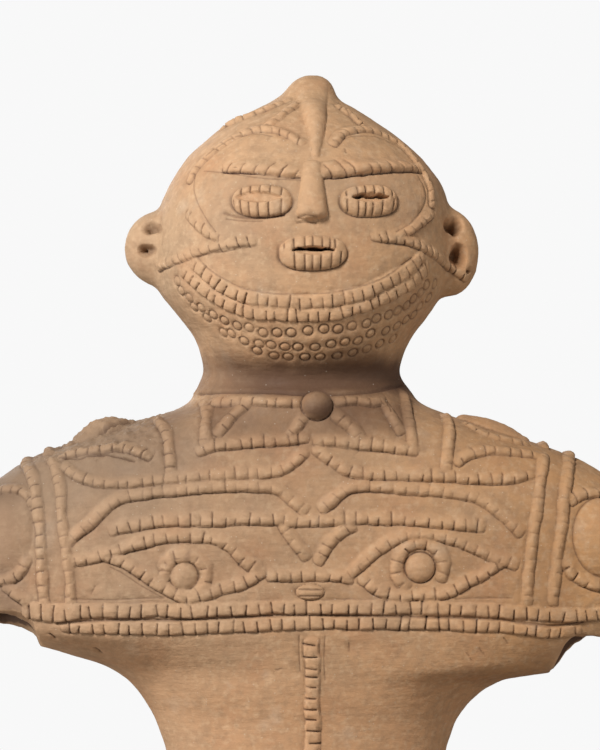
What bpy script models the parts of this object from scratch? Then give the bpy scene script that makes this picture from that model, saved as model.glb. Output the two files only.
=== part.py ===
"""A dogu: a fired clay figurine of the Final Jomon kind, standing on two stub legs.

The figure is one piece of clay. Its body is a loft between sections, its legs, ears and pads are
joined on, and rolls of clay (cordons) are laid over the skin. Both arms are broken off under the
shoulder, and the breaks show the hollow inside.

The shape is set out on a front-view drawing. A drawing point is (column, row): columns run to the
figure's left, rows run down, and one drawing unit is a fixed share of the figure's height.
The figure faces -Y, and the origin is on the ground under the middle of the figure.
"""

import math

import bmesh
import bpy
from mathutils import Vector
from mathutils.bvhtree import BVHTree

# Driving dimensions, in metres
FIGURE_HEIGHT = 0.401
WALL = 0.0042
CORDON_RADIUS = 0.0023
CORDON_RISE = 0.0019
POINT_SPACING = 0.004
ROLL_TOLERANCE = 0.0007

# The drawing's own scale, and where the body's middle is: its depth behind the origin centres the box
CROWN_ROW = 74
SOLE_ROW = 1130
MIDDLE_COLUMN = 305
MIDDLE_DEPTH = 7
UNIT = FIGURE_HEIGHT / (SOLE_ROW - CROWN_ROW)

# How finely the body, the legs, the balls and the rolls are made
RING_POINTS = 28
LEG_POINTS = 16
BALL_SEGMENTS = 10
BALL_RINGS = 6
ROLL_RESOLUTION = 1
BAND_POINTS = 28
RING_STEPS = 9
MERGE_DISTANCE = 1e-6
KEPT_SHARE = 0.7

# Unglazed fired clay
CLAY_COLOUR = (0.48, 0.28, 0.15)
CLAY_ROUGHNESS = 0.85

# Sections of head and trunk: row, left column, right column, depth in front, depth behind, squareness
TRUNK_SECTIONS = [
    (75, 308, 319, 5, 5, 2.0),
    (80, 296, 326, 16, 16, 2.0),
    (90, 288, 333, 25, 26, 2.0),
    (99, 276, 337, 33, 38, 2.0),
    (108, 258, 354, 48, 58, 2.0),
    (120, 234, 373, 66, 76, 2.0),
    (138, 208, 399, 88, 98, 2.0),
    (162, 184, 425, 110, 114, 2.1),
    (190, 167, 444, 124, 122, 2.1),
    (220, 157, 450, 131, 124, 2.1),
    (255, 152, 452, 134, 120, 2.1),
    (285, 156, 446, 133, 112, 2.1),
    (312, 174, 431, 128, 102, 2.1),
    (336, 193, 413, 117, 94, 2.1),
    (356, 201, 403, 101, 88, 2.1),
    (374, 204, 399, 87, 84, 2.1),
    (388, 197, 408, 90, 85, 2.1),
    (400, 193, 415, 95, 87, 2.2),
    (411, 173, 436, 99, 90, 2.3),
    (425, 128, 482, 103, 94, 2.5),
    (440, 84, 527, 106, 98, 2.7),
    (456, 38, 572, 109, 101, 2.8),
    (476, 2, 607, 112, 104, 2.9),
    (502, -28, 636, 115, 106, 3.0),
    (540, -44, 654, 118, 107, 3.0),
    (585, -48, 658, 118, 105, 3.0),
    (618, -40, 654, 117, 102, 3.0),
    (634, -16, 640, 115, 100, 3.0),
    (644, 36, 606, 112, 99, 2.9),
    (654, 71, 568, 110, 97, 2.7),
    (668, 113, 532, 107, 95, 2.5),
    (678, 127, 500, 105, 94, 2.4),
    (692, 139, 480, 103, 92, 2.3),
    (722, 157, 455, 98, 88, 2.2),
    (765, 168, 444, 95, 85, 2.2),
    (805, 158, 453, 100, 92, 2.2),
    (850, 136, 474, 110, 106, 2.3),
    (900, 116, 494, 118, 118, 2.4),
    (945, 109, 501, 120, 120, 2.4),
    (980, 114, 496, 115, 113, 2.4),
    (1008, 134, 476, 101, 98, 2.4),
    (1026, 186, 424, 74, 70, 2.3),
]

# Sections of one leg: row, distance from the middle of its inner and outer side, depths, squareness
LEG_SECTIONS = [
    (925, 60, 150, 70, 70, 2.2),
    (970, 38, 174, 92, 90, 2.2),
    (1012, 27, 183, 99, 97, 2.3),
    (1055, 23, 177, 92, 88, 2.3),
    (1092, 22, 171, 88, 82, 2.3),
    (1120, 21, 175, 94, 82, 2.4),
    (1130, 25, 171, 90, 78, 2.4),
]

# Rolls of clay laid on the front: their middle lines on the drawing
FRONT_CORDONS = {
    "arc_over_right_eye": [
        (303, 142), (286, 133), (262, 128), (234, 138),
        (206, 160), (189, 188), (193, 215), (213, 237),
    ],
    "arc_over_left_eye": [
        (333, 144), (345, 133), (367, 130), (395, 142),
        (420, 168), (433, 200), (427, 219), (398, 238),
    ],
    "crown_band_right": [(300, 102), (284, 113), (264, 127)],
    "crown_edge_right": [(286, 102), (260, 112), (232, 123), (207, 143)],
    "crown_band_left": [(339, 107), (352, 117), (364, 129)],
    "brow_right": [(230, 170), (262, 167), (300, 170)],
    "brow_left": [(326, 170), (365, 166), (400, 167), (424, 173)],
    "cheek_right": [(158, 268), (185, 257), (214, 247), (240, 243), (256, 243)],
    "cheek_left": [(372, 237), (398, 239), (420, 246), (446, 262), (466, 282)],
    "chin_band_upper": [
        (192, 262), (213, 280), (241, 296), (276, 301),
        (315, 302), (353, 296), (386, 283), (423, 258),
    ],
    "chin_band_lower": [
        (184, 271), (205, 292), (234, 308), (270, 315),
        (315, 315), (355, 310), (389, 297), (429, 268),
    ],
    "collar_top_right": [(212, 405), (246, 402), (296, 403)],
    "collar_top_left": [(338, 405), (366, 406), (392, 402)],
    "collar_hem_right": [(196, 450), (230, 445), (265, 442), (306, 440)],
    "collar_hem_left": [(306, 440), (350, 444), (385, 448), (417, 451)],
    "collar_side_right": [(203, 403), (206, 425), (205, 446)],
    "collar_side_left": [(396, 404), (406, 426), (414, 448)],
    "collar_brace_right": [(246, 403), (232, 416), (214, 435)],
    "strap_right": [(308, 417), (296, 430), (286, 441)],
    "strap_left": [(332, 415), (350, 427), (362, 443)],
    "chest_line_right": [
        (64, 466), (80, 479), (110, 483), (170, 479),
        (230, 474), (272, 473), (292, 465), (311, 450),
    ],
    "chest_line_left": [
        (311, 450), (332, 460), (352, 471), (390, 474),
        (440, 476), (490, 479), (533, 475),
    ],
    "shoulder_curve_right": [
        (68, 543), (92, 519), (118, 500), (150, 492),
        (210, 488), (272, 487), (292, 499), (313, 517),
    ],
    "shoulder_curve_left": [
        (313, 517), (334, 499), (352, 488), (395, 487),
        (440, 489), (476, 496), (502, 514), (526, 543),
    ],
    "chest_bar": [(111, 531), (150, 524), (220, 520), (300, 519), (380, 518), (450, 521), (485, 527)],
    "breast_v_right": [(266, 525), (284, 535), (299, 552), (311, 570)],
    "breast_v_left": [(350, 526), (334, 540), (320, 555), (311, 570)],
    "breast_bar": [(258, 577), (311, 578), (352, 579)],
    "eye_lid_upper_right": [
        (72, 561), (104, 556), (138, 544), (175, 536),
        (210, 539), (235, 550), (258, 572),
    ],
    "eye_lid_lower_right": [
        (104, 558), (132, 570), (156, 585), (180, 595),
        (215, 595), (240, 585), (262, 574),
    ],
    "eye_lid_upper_left": [
        (350, 575), (372, 552), (398, 537), (425, 534),
        (455, 540), (487, 554), (525, 563),
    ],
    "eye_lid_lower_left": [(358, 575), (378, 590), (418, 596), (446, 591), (474, 576), (503, 558)],
    "breast_stub": [(311, 578), (311, 598)],
    "belt_upper": [(26, 612), (90, 612), (200, 611), (320, 611), (440, 611), (540, 614), (612, 618)],
    "belt_lower": [(56, 626), (130, 626), (220, 626), (320, 625), (420, 625), (520, 626), (588, 629)],
    "shoulder_leaf_right": [(60, 457), (85, 450), (118, 449), (150, 455), (167, 459)],
    "shoulder_fin_right": [(73, 445), (94, 435), (114, 428), (134, 424)],
    "shoulder_post_right": [(164, 421), (168, 437), (171, 456), (172, 472)],
    "shoulder_leaf_left": [(447, 465), (464, 454), (500, 452), (538, 455)],
    "shoulder_fin_left": [(466, 426), (484, 432), (506, 439), (526, 444)],
    "shoulder_post_left": [(448, 419), (448, 440), (445, 468)],
    "belly_rib": [(312, 640), (313, 690), (313, 750), (312, 810), (311, 868)],
}

# Rolls that run up the front, over the shoulder at the given depths, and down the back
SHOULDER_POSTS = {
    "arm_post_outer_right": [(44, 604), (39, 550), (37, 500), (36, 464)],
    "arm_post_inner_right": [(71, 601), (66, 550), (61, 500), (58, 456)],
    "arm_post_inner_left": [(527, 601), (530, 542), (536, 490), (541, 454)],
    "arm_post_outer_left": [(554, 604), (558, 555), (564, 500), (569, 468)],
}
SHOULDER_DEPTHS = (-36, 0, 36)

BACK_CORDONS = {
    "back_belt_upper": [(36, 612), (150, 612), (305, 611), (460, 612), (582, 613)],
    "back_belt_lower": [(58, 626), (150, 627), (305, 626), (460, 627), (558, 627)],
    "back_spine": [(308, 452), (307, 530), (306, 604)],
    "back_collar": [(196, 440), (250, 447), (306, 449), (362, 447), (414, 440)],
    "back_curve_right": [(72, 552), (115, 505), (190, 486), (298, 520)],
    "back_curve_left": [(538, 552), (495, 505), (420, 486), (314, 520)],
    "back_head_rib": [(311, 128), (308, 190), (305, 250), (303, 330)],
    "back_head_band": [(166, 232), (226, 258), (304, 266), (382, 258), (444, 232)],
}

# Bands all round: their rows
HIP_BANDS = {"hip_band_upper": 872, "hip_band_lower": 888}
ANKLE_ROW = 1085

# Pads of clay: centre column, centre row, half width, half height, rise above the skin
PADS = {
    "eye_right": (263, 201, 31, 17, 9),
    "eye_left": (369, 201, 30, 16, 9),
    "mouth": (313, 253, 37, 18, 11),
    "collar_knob": (317, 405, 17, 17, 17),
    "pupil_right": (184, 576, 13, 13, 7),
    "pupil_left": (420, 567, 15, 15, 8),
    "shoulder_boss_right": (-6, 534, 34, 40, 14),
    "shoulder_boss_left": (611, 536, 34, 40, 14),
}

# Open rings of clay: centre column and row, half width, half height, first and last angle in degrees
RINGS = {
    "pupil_ring_right": (184, 576, 24, 25, 202, -62),
    "pupil_ring_left": (420, 567, 25, 25, 215, -20),
    "boss_ring_right": (-10, 537, 43, 48, 70, -70),
    "boss_ring_left": (617, 540, 45, 48, 110, 250),
}

# Ears: centre column, centre row, half width, half height, half depth, how far forward of the middle
EARS = {
    "ear_right": (160, 249, 36, 38, 28, 10),
    "ear_left": (446, 253, 33, 45, 28, 10),
}

# Holes and slits pressed into the clay: column, row, half width, half height, depth below the skin
PRESSED = {
    "ear_hole_upper_right": (150, 229, 7, 6, 17),
    "ear_hole_lower_right": (146, 252, 9, 6, 17),
    "ear_hole_upper_left": (456, 224, 8, 8, 19),
    "ear_hole_lower_left": (461, 256, 8, 11, 19),
    "mouth_slit": (313, 253, 20, 4, 16),
    "eye_slit_left": (369, 201, 16, 5, 16),
    "eye_slit_right": (262, 201, 18, 5, 14),
}

# Thick ridges of clay: (column, row, half width) along each
RIDGES = {
    "shoulder_lobe_right": [(74, 451, 8), (88, 442, 13), (106, 433, 14), (128, 427, 8)],
    "shoulder_lobe_left": [(468, 430, 8), (488, 434, 11), (506, 439, 11), (522, 448, 7)],
    "forehead_ridge": [(313, 92, 13), (314, 108, 13), (315, 128, 9), (316, 157, 4)],
    "nose": [(312, 166, 10), (312, 190, 11), (312, 208, 13), (312, 223, 14)],
}

# The broken arms: each hollow's middle column, and the torn edge below it, (column, row) inwards out
ARM_HALF_WIDTH = 41
ARM_HALF_DEPTH = 78
ARM_COLUMNS = {"arm_hollow_right": -5, "arm_hollow_left": 615}
TORN_EDGES = {
    "arm_break_right": [(43, 646), (36, 630), (14, 619), (-8, 618), (-32, 609), (-60, 604)],
    "arm_break_left": [(553, 669), (561, 653), (573, 640), (600, 633), (634, 618), (672, 608)],
}
TORN_WAVE = 3
TORN_TILT = 0.07
TORN_TURN_ALONG = 2.4
TORN_TURN_ACROSS = 2.1
TORN_DEPTHS = (-140, -80, -30, 30, 80, 140)
TORN_FLOOR_ROW = 700

# Sections of an arm's hollow: row, share of the hollow's full width and depth
HOLLOW_SECTIONS = [(566, 0.3), (574, 0.6), (590, 0.86), (612, 1.0), (700, 1.0)]

# A distance that is well outside the figure, in drawing units
FAR = 3000


def place(column, row, depth=0):
    """A drawing point in metres. Its depth is counted backwards from the body's middle."""
    return Vector((column - MIDDLE_COLUMN, depth + MIDDLE_DEPTH, SOLE_ROW - row)) * UNIT


def linked(name, data, collection):
    """A new object in a collection."""
    thing = bpy.data.objects.new(name, data)
    collection.objects.link(thing)
    return thing


def guide_collection(name):
    """A collection of objects that a Boolean reads, and that are not themselves the figure."""
    collection = bpy.data.collections.new(name)
    bpy.context.scene.collection.children.link(collection)
    return collection


def closed_mesh(name, bm, collection, guide=True):
    """An object from a finished bmesh, with its faces pointing out."""
    bmesh.ops.recalc_face_normals(bm, faces=bm.faces)
    mesh = bpy.data.meshes.new(name)
    bm.to_mesh(mesh)
    bm.free()
    thing = linked(name, mesh, collection)
    if guide:
        thing.hide_render = True
        thing.display_type = "WIRE"
    return thing


def oblong(left, right, front, back, squareness, row, count):
    """Points of one level section: a rounded oblong whose front and back have their own depth."""
    points = []
    for step in range(count):
        turn = 2 * math.pi * step / count
        across = math.copysign(abs(math.cos(turn)) ** (2 / squareness), math.cos(turn))
        along = math.copysign(abs(math.sin(turn)) ** (2 / squareness), math.sin(turn))
        column = (left + right) / 2 + across * (right - left) / 2
        points.append(place(column, row, along * (back if along > 0 else front)))
    return points


def skin_over(rings):
    """A bmesh skin over a row of closed rings of points, closed at both ends."""
    bm = bmesh.new()
    rows = [[bm.verts.new(point) for point in ring] for ring in rings]
    for above, below in zip(rows, rows[1:]):
        for here in range(len(above)):
            after = (here + 1) % len(above)
            bm.faces.new((below[here], below[after], above[after], above[here]))
    bm.faces.new(rows[0])
    bm.faces.new(rows[-1])
    return bm


def loft(name, sections, count, collection, guide=True):
    """A closed body over level sections that are listed from the top down."""
    rings = []
    for row, left, right, front, back, squareness in sections:
        rings.append(oblong(left, right, front, back, squareness, row, count))
    return closed_mesh(name, skin_over(rings), collection, guide)


def flattened_ball(name, centre, size, collection):
    """A ball pressed to its own half width, half depth and half height, in metres."""
    bm = bmesh.new()
    bmesh.ops.create_uvsphere(bm, u_segments=BALL_SEGMENTS, v_segments=BALL_RINGS, radius=1)
    bmesh.ops.scale(bm, vec=size, verts=bm.verts)
    bmesh.ops.translate(bm, vec=centre, verts=bm.verts)
    return closed_mesh(name, bm, collection)


def make_legs(collection):
    """Two stub legs on flat feet, either side of the middle."""
    legs = []
    for side, name in ((-1, "leg_right"), (1, "leg_left")):
        sections = []
        for row, inner, outer, front, back, squareness in LEG_SECTIONS:
            edges = sorted((MIDDLE_COLUMN + side * inner, MIDDLE_COLUMN + side * outer))
            sections.append((row, *edges, front, back, squareness))
        legs.append(loft(name, sections, LEG_POINTS, collection))
    return legs


def make_ears(collection):
    """A round lobe on each side of the head."""
    for name, (column, row, half_width, half_height, half_depth, forward) in EARS.items():
        size = Vector((half_width, half_depth, half_height)) * UNIT
        flattened_ball(name, place(column, row, -forward), size, collection)


class Skin:
    """The bare figure's surface. Every point that it gives is sunk under the surface by one depth."""

    def __init__(self, bodies, depth):
        graph = bpy.context.evaluated_depsgraph_get()
        self.trees = [BVHTree.FromObject(body, graph) for body in bodies]
        self.depth = depth

    def hit(self, origin, direction):
        """The first point of the skin along a ray, or None."""
        found = []
        for tree in self.trees:
            point, normal, _, distance = tree.ray_cast(origin, direction)
            if point is not None:
                found.append((distance, point - normal * self.depth))
        return min(found, key=lambda pair: pair[0])[1] if found else None

    def front(self, column, row):
        return self.hit(place(column, row, -FAR), Vector((0, 1, 0)))

    def back(self, column, row):
        return self.hit(place(column, row, FAR), Vector((0, -1, 0)))

    def top(self, column, depth):
        return self.hit(place(column, -FAR, depth), Vector((0, 0, -1)))

    def around(self, column, row, turn):
        outward = Vector((math.sin(turn), -math.cos(turn), 0))
        return self.hit(place(column, row) + outward * FAR * UNIT, -outward)


def smooth_line(points):
    """Points about one spacing apart on a smooth curve through the given drawing points."""
    ends = [points[0], *points, points[-1]]
    line = [Vector(points[0])]
    for before, start, end, after in zip(ends, ends[1:], ends[2:], ends[3:]):
        p0, p1, p2, p3 = (Vector(p) for p in (before, start, end, after))
        steps = max(1, round((p2 - p1).length * UNIT / POINT_SPACING))
        for step in range(1, steps + 1):
            t = step / steps
            pull = (p2 - p0) * t + (2 * p0 - 5 * p1 + 4 * p2 - p3) * t**2
            line.append(p1 + 0.5 * (pull + (3 * p1 - p0 - 3 * p2 + p3) * t**3))
    return line


def drape(line, side):
    """The skin's points under a line on the drawing, leaving out those that miss the skin."""
    return thinned([point for point in (side(*spot) for spot in line) if point is not None])


def thinned(points):
    """The fewest of the points whose straight runs stay within the roll tolerance of all of them."""
    first, last = points[0], points[-1]
    run = (last - first).normalized()
    strays = [((point - first) - run * (point - first).dot(run)).length for point in points]
    worst = max(range(len(points)), key=strays.__getitem__)
    if strays[worst] < ROLL_TOLERANCE:
        return [first, last]
    return thinned(points[: worst + 1])[:-1] + thinned(points[worst:])


def roll(name, points, collection, radii=None, closed=False):
    """A roll of clay along points, as a closed mesh. Its radii are one for each point."""
    curve = bpy.data.curves.new(name, "CURVE")
    curve.dimensions = "3D"
    curve.bevel_depth = 1
    curve.bevel_resolution = ROLL_RESOLUTION
    curve.use_fill_caps = not closed
    spline = curve.splines.new("POLY")
    spline.points.add(len(points) - 1)
    spline.use_cyclic_u = closed
    for index, (knot, point) in enumerate(zip(spline.points, points)):
        knot.co = (*point, 1)
        knot.radius = radii[index] if radii else CORDON_RADIUS
    drawn = linked(name, curve, collection)
    graph = bpy.context.evaluated_depsgraph_get()
    mesh = bpy.data.meshes.new_from_object(drawn.evaluated_get(graph))
    bpy.data.objects.remove(drawn)
    bm = bmesh.new()
    bm.from_mesh(mesh)
    bmesh.ops.remove_doubles(bm, verts=bm.verts, dist=MERGE_DISTANCE)
    return closed_mesh(name, bm, collection)


def lay_cordons(skin, collection):
    """The rolls of clay on the front and the back, and those over the shoulders."""
    for side, cordons in ((skin.front, FRONT_CORDONS), (skin.back, BACK_CORDONS)):
        for name, points in cordons.items():
            roll(name, drape(smooth_line(points), side), collection)
    for name, points in SHOULDER_POSTS.items():
        line = smooth_line(points)
        column = points[-1][0]
        over = [skin.top(column, depth) for depth in SHOULDER_DEPTHS]
        up = drape(line, skin.front)
        down = drape(reversed(line), skin.back)
        roll(name, up + over + down, collection)


def lay_band(name, skin, column, row, collection):
    """A roll right round the body or a leg, about an upright line at a column."""
    turns = [2 * math.pi * step / BAND_POINTS for step in range(BAND_POINTS)]
    points = [skin.around(column, row, turn) for turn in turns]
    roll(name, points, collection, closed=True)


def lay_rings(skin, collection):
    """The open rings of clay round the two pupils and the two shoulder bosses."""
    for name, (column, row, half_width, half_height, first, last) in RINGS.items():
        line = []
        for step in range(RING_STEPS + 1):
            angle = math.radians(first + (last - first) * step / RING_STEPS)
            line.append((column + half_width * math.cos(angle), row - half_height * math.sin(angle)))
        roll(name, drape(line, skin.front), collection)


def lay_pads(skin, collection):
    """Eyes, mouth, knob, pupils and shoulder bosses: flattened balls pressed on the skin."""
    for name, (column, row, half_width, half_height, rise) in PADS.items():
        size = Vector((half_width, rise, half_height)) * UNIT
        flattened_ball(name, skin.front(column, row), size, collection)


def lay_ridges(skin, collection):
    """The ridge down the forehead, the nose and the lobes on the shoulders."""
    for name, stations in RIDGES.items():
        spots = [skin.front(column, row) for column, row, _ in stations]
        radii = [half_width * UNIT for _, _, half_width in stations]
        roll(name, spots, collection, radii)


def press_holes(skin, collection):
    """Cutters for the holes in the ears and for the slits of the eyes and the mouth."""
    for name, (column, row, half_width, half_height, depth) in PRESSED.items():
        size = Vector((half_width, depth, half_height)) * UNIT
        flattened_ball(name, skin.front(column, row), size, collection)


def tear_arms(collection):
    """Cutters for both arms: the hollow inside, and the torn edge where each arm broke off."""
    wall = WALL / UNIT
    for name, column in ARM_COLUMNS.items():
        sections = []
        for row, share in HOLLOW_SECTIONS:
            width = (ARM_HALF_WIDTH - wall) * share
            depth = (ARM_HALF_DEPTH - wall) * share
            sections.append((row, column - width, column + width, depth, depth, 2))
        loft(name, sections, LEG_POINTS, collection)
    for name, edge in TORN_EDGES.items():
        rings = []
        for station, depth in enumerate(TORN_DEPTHS):
            ring = []
            for index, (column, row) in enumerate(edge):
                wave = TORN_WAVE * math.sin(index * TORN_TURN_ALONG + station * TORN_TURN_ACROSS)
                ring.append(place(column, row + wave + depth * TORN_TILT, depth))
            for column, _ in (edge[-1], edge[0]):
                ring.append(place(column, TORN_FLOOR_ROW, depth))
            rings.append(ring)
        closed_mesh(name, skin_over(rings), collection)


def combine(figure, operation, collection):
    """A Boolean modifier on the figure that reads a whole collection."""
    modifier = figure.modifiers.new(collection.name, "BOOLEAN")
    modifier.operation = operation
    modifier.operand_type = "COLLECTION"
    modifier.collection = collection
    modifier.solver = "EXACT"


def fired_clay():
    """Unglazed clay, fired to a warm tan and matt all over."""
    material = bpy.data.materials.new("fired_clay")
    material.use_nodes = True
    shader = material.node_tree.nodes["Principled BSDF"]
    shader.inputs["Base Color"].default_value = (*CLAY_COLOUR, 1)
    shader.inputs["Roughness"].default_value = CLAY_ROUGHNESS
    shader.inputs["Metallic"].default_value = 0
    material.diffuse_color = (*CLAY_COLOUR, 1)
    return material


def main():
    for thing in list(bpy.data.objects):
        bpy.data.objects.remove(thing)
    dogu = bpy.data.collections.new("dogu")
    bpy.context.scene.collection.children.link(dogu)
    limbs = guide_collection("limbs")
    clay = guide_collection("laid_clay")
    cuts = guide_collection("cuts")

    figure = loft("dogu_figurine", TRUNK_SECTIONS, RING_POINTS, dogu, guide=False)
    legs = make_legs(limbs)
    make_ears(limbs)
    bpy.context.view_layer.update()

    depth = CORDON_RADIUS - CORDON_RISE
    skin = Skin([figure, *limbs.objects], depth)
    lay_cordons(skin, clay)
    for name, row in HIP_BANDS.items():
        lay_band(name, skin, MIDDLE_COLUMN, row, clay)
    leg_middle = sum(LEG_SECTIONS[-1][1:3]) / 2
    for side, leg in zip((-1, 1), legs):
        column = MIDDLE_COLUMN + side * leg_middle
        lay_band("ankle_of_" + leg.name, Skin([leg], depth), column, ANKLE_ROW, clay)
    lay_rings(skin, clay)
    lay_pads(skin, clay)
    lay_ridges(skin, clay)
    press_holes(skin, cuts)
    tear_arms(cuts)

    combine(figure, "UNION", limbs)
    combine(figure, "UNION", clay)
    combine(figure, "DIFFERENCE", cuts)
    thin = figure.modifiers.new("thin_out", "DECIMATE")
    thin.decimate_type = "COLLAPSE"
    thin.ratio = KEPT_SHARE
    figure.data.materials.append(fired_clay())
    figure.data.shade_smooth()


main()
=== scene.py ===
# %% [markdown]
# # A dogu, dressed
# A dogu is a hollow clay figure, made some 2,500 years ago in northern Japan. This one is a single
# piece of fired clay. The maker coiled up a hollow body, smoothed it, laid thin rolls of clay on it
# as ornament, and cut short notches across every roll with a thin stick.
#
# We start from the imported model. It gives the true size and place, and nothing here moves it.

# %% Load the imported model
import math

import bmesh
import bpy
import numpy as np
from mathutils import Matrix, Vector, noise
from mathutils.bvhtree import BVHTree

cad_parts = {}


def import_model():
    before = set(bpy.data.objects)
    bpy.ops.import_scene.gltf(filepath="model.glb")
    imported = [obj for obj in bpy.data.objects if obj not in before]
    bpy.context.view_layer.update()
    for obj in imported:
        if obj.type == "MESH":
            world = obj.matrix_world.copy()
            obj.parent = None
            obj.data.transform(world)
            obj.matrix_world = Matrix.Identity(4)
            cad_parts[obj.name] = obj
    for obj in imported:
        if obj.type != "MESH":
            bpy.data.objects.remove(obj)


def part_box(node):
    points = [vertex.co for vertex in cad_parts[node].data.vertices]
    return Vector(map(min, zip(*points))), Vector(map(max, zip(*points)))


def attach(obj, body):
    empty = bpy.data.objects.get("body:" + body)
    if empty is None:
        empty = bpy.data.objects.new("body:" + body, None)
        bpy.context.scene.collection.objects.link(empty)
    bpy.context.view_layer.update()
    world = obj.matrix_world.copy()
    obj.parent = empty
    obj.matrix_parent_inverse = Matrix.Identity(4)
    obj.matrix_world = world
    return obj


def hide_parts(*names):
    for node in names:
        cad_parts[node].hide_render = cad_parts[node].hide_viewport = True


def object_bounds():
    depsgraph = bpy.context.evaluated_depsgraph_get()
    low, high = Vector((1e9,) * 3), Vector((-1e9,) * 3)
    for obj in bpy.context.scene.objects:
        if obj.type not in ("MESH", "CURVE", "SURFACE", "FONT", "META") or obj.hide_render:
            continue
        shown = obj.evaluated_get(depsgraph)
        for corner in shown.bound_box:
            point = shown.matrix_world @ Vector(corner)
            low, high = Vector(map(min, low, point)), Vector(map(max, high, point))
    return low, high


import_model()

cad_low, cad_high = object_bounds()
figure_low, figure_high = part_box("dogu_figurine")
print("the packed figure is", [round(high - low, 4) for low, high in zip(figure_low, figure_high)], "m")

# %% [markdown]
# ## The drawing
# Every shape is set out on a front-view drawing, as a maker would scratch it on a board. A place on it
# is (column, row): columns run to the figure's left and rows run down. One drawing unit is a share of
# the figure's height, so the ornament always fits the body. The eye of the viewer is some way off in
# front, and a mark on the drawing lands on the clay along the line from that eye.

# %% The scale of the drawing
CROWN_ROW = 75
SOLE_ROW = 1130
MIDDLE_COLUMN = 305
MIDDLE_DEPTH = 7
UNIT = (figure_high.z - figure_low.z) / (SOLE_ROW - CROWN_ROW)
MM = 0.001
VIEW_COLUMN = 300
VIEW_ROW = 375
VIEW_ROWS = 750
VIEWING_DISTANCE = 3.5


def place(column, row, depth=0):
    """A drawing point in metres. Its depth is counted backwards from the body's middle."""
    return Vector((column - MIDDLE_COLUMN, depth + MIDDLE_DEPTH, SOLE_ROW - row)) * UNIT


EYE = place(VIEW_COLUMN, VIEW_ROW) - Vector((0, VIEWING_DISTANCE, 0))
print("one drawing unit is", round(UNIT / MM, 3), "mm")

# %% [markdown]
# ## The body
# The real body was coiled up level by level, and a stack of level sections says the same thing: how far
# the clay reaches to each side, to the front and to the back at each height. One filled circle is drawn
# out to the first section. Extrude then pulls it down level by level, and every new ring is drawn out to
# its own section. Between the measured levels the outline follows a curve that never swings past them,
# because a plain spline would bulge where the arms end.

# %% Sections and the curve between them
# Row, left column, right column, depth in front, depth behind, squareness
TRUNK_SECTIONS = [
    (75, 304, 321, 8, 8, 2.0),
    (80, 294, 329, 18, 18, 2.0),
    (90, 286, 335, 27, 28, 2.0),
    (99, 277, 337, 33, 38, 2.0),
    (108, 258, 354, 48, 58, 2.0),
    (120, 234, 373, 66, 76, 2.0),
    (138, 208, 399, 88, 98, 2.0),
    (162, 184, 425, 110, 114, 2.1),
    (190, 167, 444, 124, 122, 2.1),
    (220, 157, 450, 131, 124, 2.1),
    (255, 152, 452, 134, 120, 2.1),
    (285, 156, 446, 133, 112, 2.1),
    (312, 174, 431, 128, 102, 2.1),
    (336, 193, 413, 117, 94, 2.1),
    (356, 201, 403, 99, 88, 2.1),
    (374, 204, 399, 80, 84, 2.1),
    (385, 199, 405, 79, 85, 2.1),
    (393, 195, 412, 90, 86, 2.2),
    (400, 192, 415, 96, 87, 2.2),
    (411, 173, 436, 100, 90, 2.3),
    (425, 128, 482, 103, 94, 2.5),
    (440, 84, 527, 106, 98, 2.7),
    (456, 38, 572, 109, 101, 2.8),
    (476, 2, 607, 112, 104, 2.9),
    (502, -28, 636, 115, 106, 3.0),
    (540, -44, 654, 118, 107, 3.0),
    (585, -48, 658, 118, 105, 3.0),
    (618, -40, 654, 117, 102, 3.0),
    (634, -16, 640, 115, 100, 3.0),
    (644, 36, 620, 112, 99, 2.9),
    (654, 71, 602, 110, 97, 2.7),
    (664, 104, 582, 108, 96, 2.6),
    (671, 117, 556, 106, 95, 2.5),
    (678, 127, 506, 105, 94, 2.4),
    (692, 139, 480, 103, 92, 2.3),
    (722, 157, 455, 98, 88, 2.2),
    (765, 168, 444, 95, 85, 2.2),
    (805, 158, 453, 100, 92, 2.2),
    (850, 136, 474, 110, 106, 2.3),
    (900, 116, 494, 118, 118, 2.4),
    (945, 109, 501, 120, 120, 2.4),
    (980, 114, 496, 115, 113, 2.4),
    (1008, 134, 476, 101, 98, 2.4),
    (1026, 186, 424, 74, 70, 2.3),
]
# Row, distance of the inner and outer side from the middle, depth in front, depth behind, squareness
LEG_SECTIONS = [
    (925, 60, 150, 70, 70, 2.2),
    (970, 38, 174, 92, 90, 2.2),
    (1012, 27, 183, 99, 97, 2.3),
    (1055, 23, 177, 92, 88, 2.3),
    (1092, 22, 171, 88, 82, 2.3),
    (1120, 21, 175, 94, 82, 2.4),
    (1130, 25, 171, 90, 78, 2.4),
]
LEVEL_STEP = 8


def gentle_curve(rows, values, wanted):
    """Values at the wanted rows, on a curve through the given ones that never swings past them."""
    rows, values = np.asarray(rows, float), np.asarray(values, float)
    gaps = np.diff(rows)
    slopes = np.diff(values) / gaps
    bends = np.zeros(len(rows))
    same_way = slopes[:-1] * slopes[1:] > 0
    bends[1:-1][same_way] = 2 / (1 / slopes[:-1][same_way] + 1 / slopes[1:][same_way])
    bends[0], bends[-1] = slopes[0], slopes[-1]
    at = np.clip(np.searchsorted(rows, wanted, side="right") - 1, 0, len(gaps) - 1)
    t = (wanted - rows[at]) / gaps[at]
    rise = (2 * t**3 - 3 * t**2 + 1) * values[at] + (3 * t**2 - 2 * t**3) * values[at + 1]
    turn = (t**3 - 2 * t**2 + t) * bends[at] + (t**3 - t**2) * bends[at + 1]
    return rise + turn * gaps[at]


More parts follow.
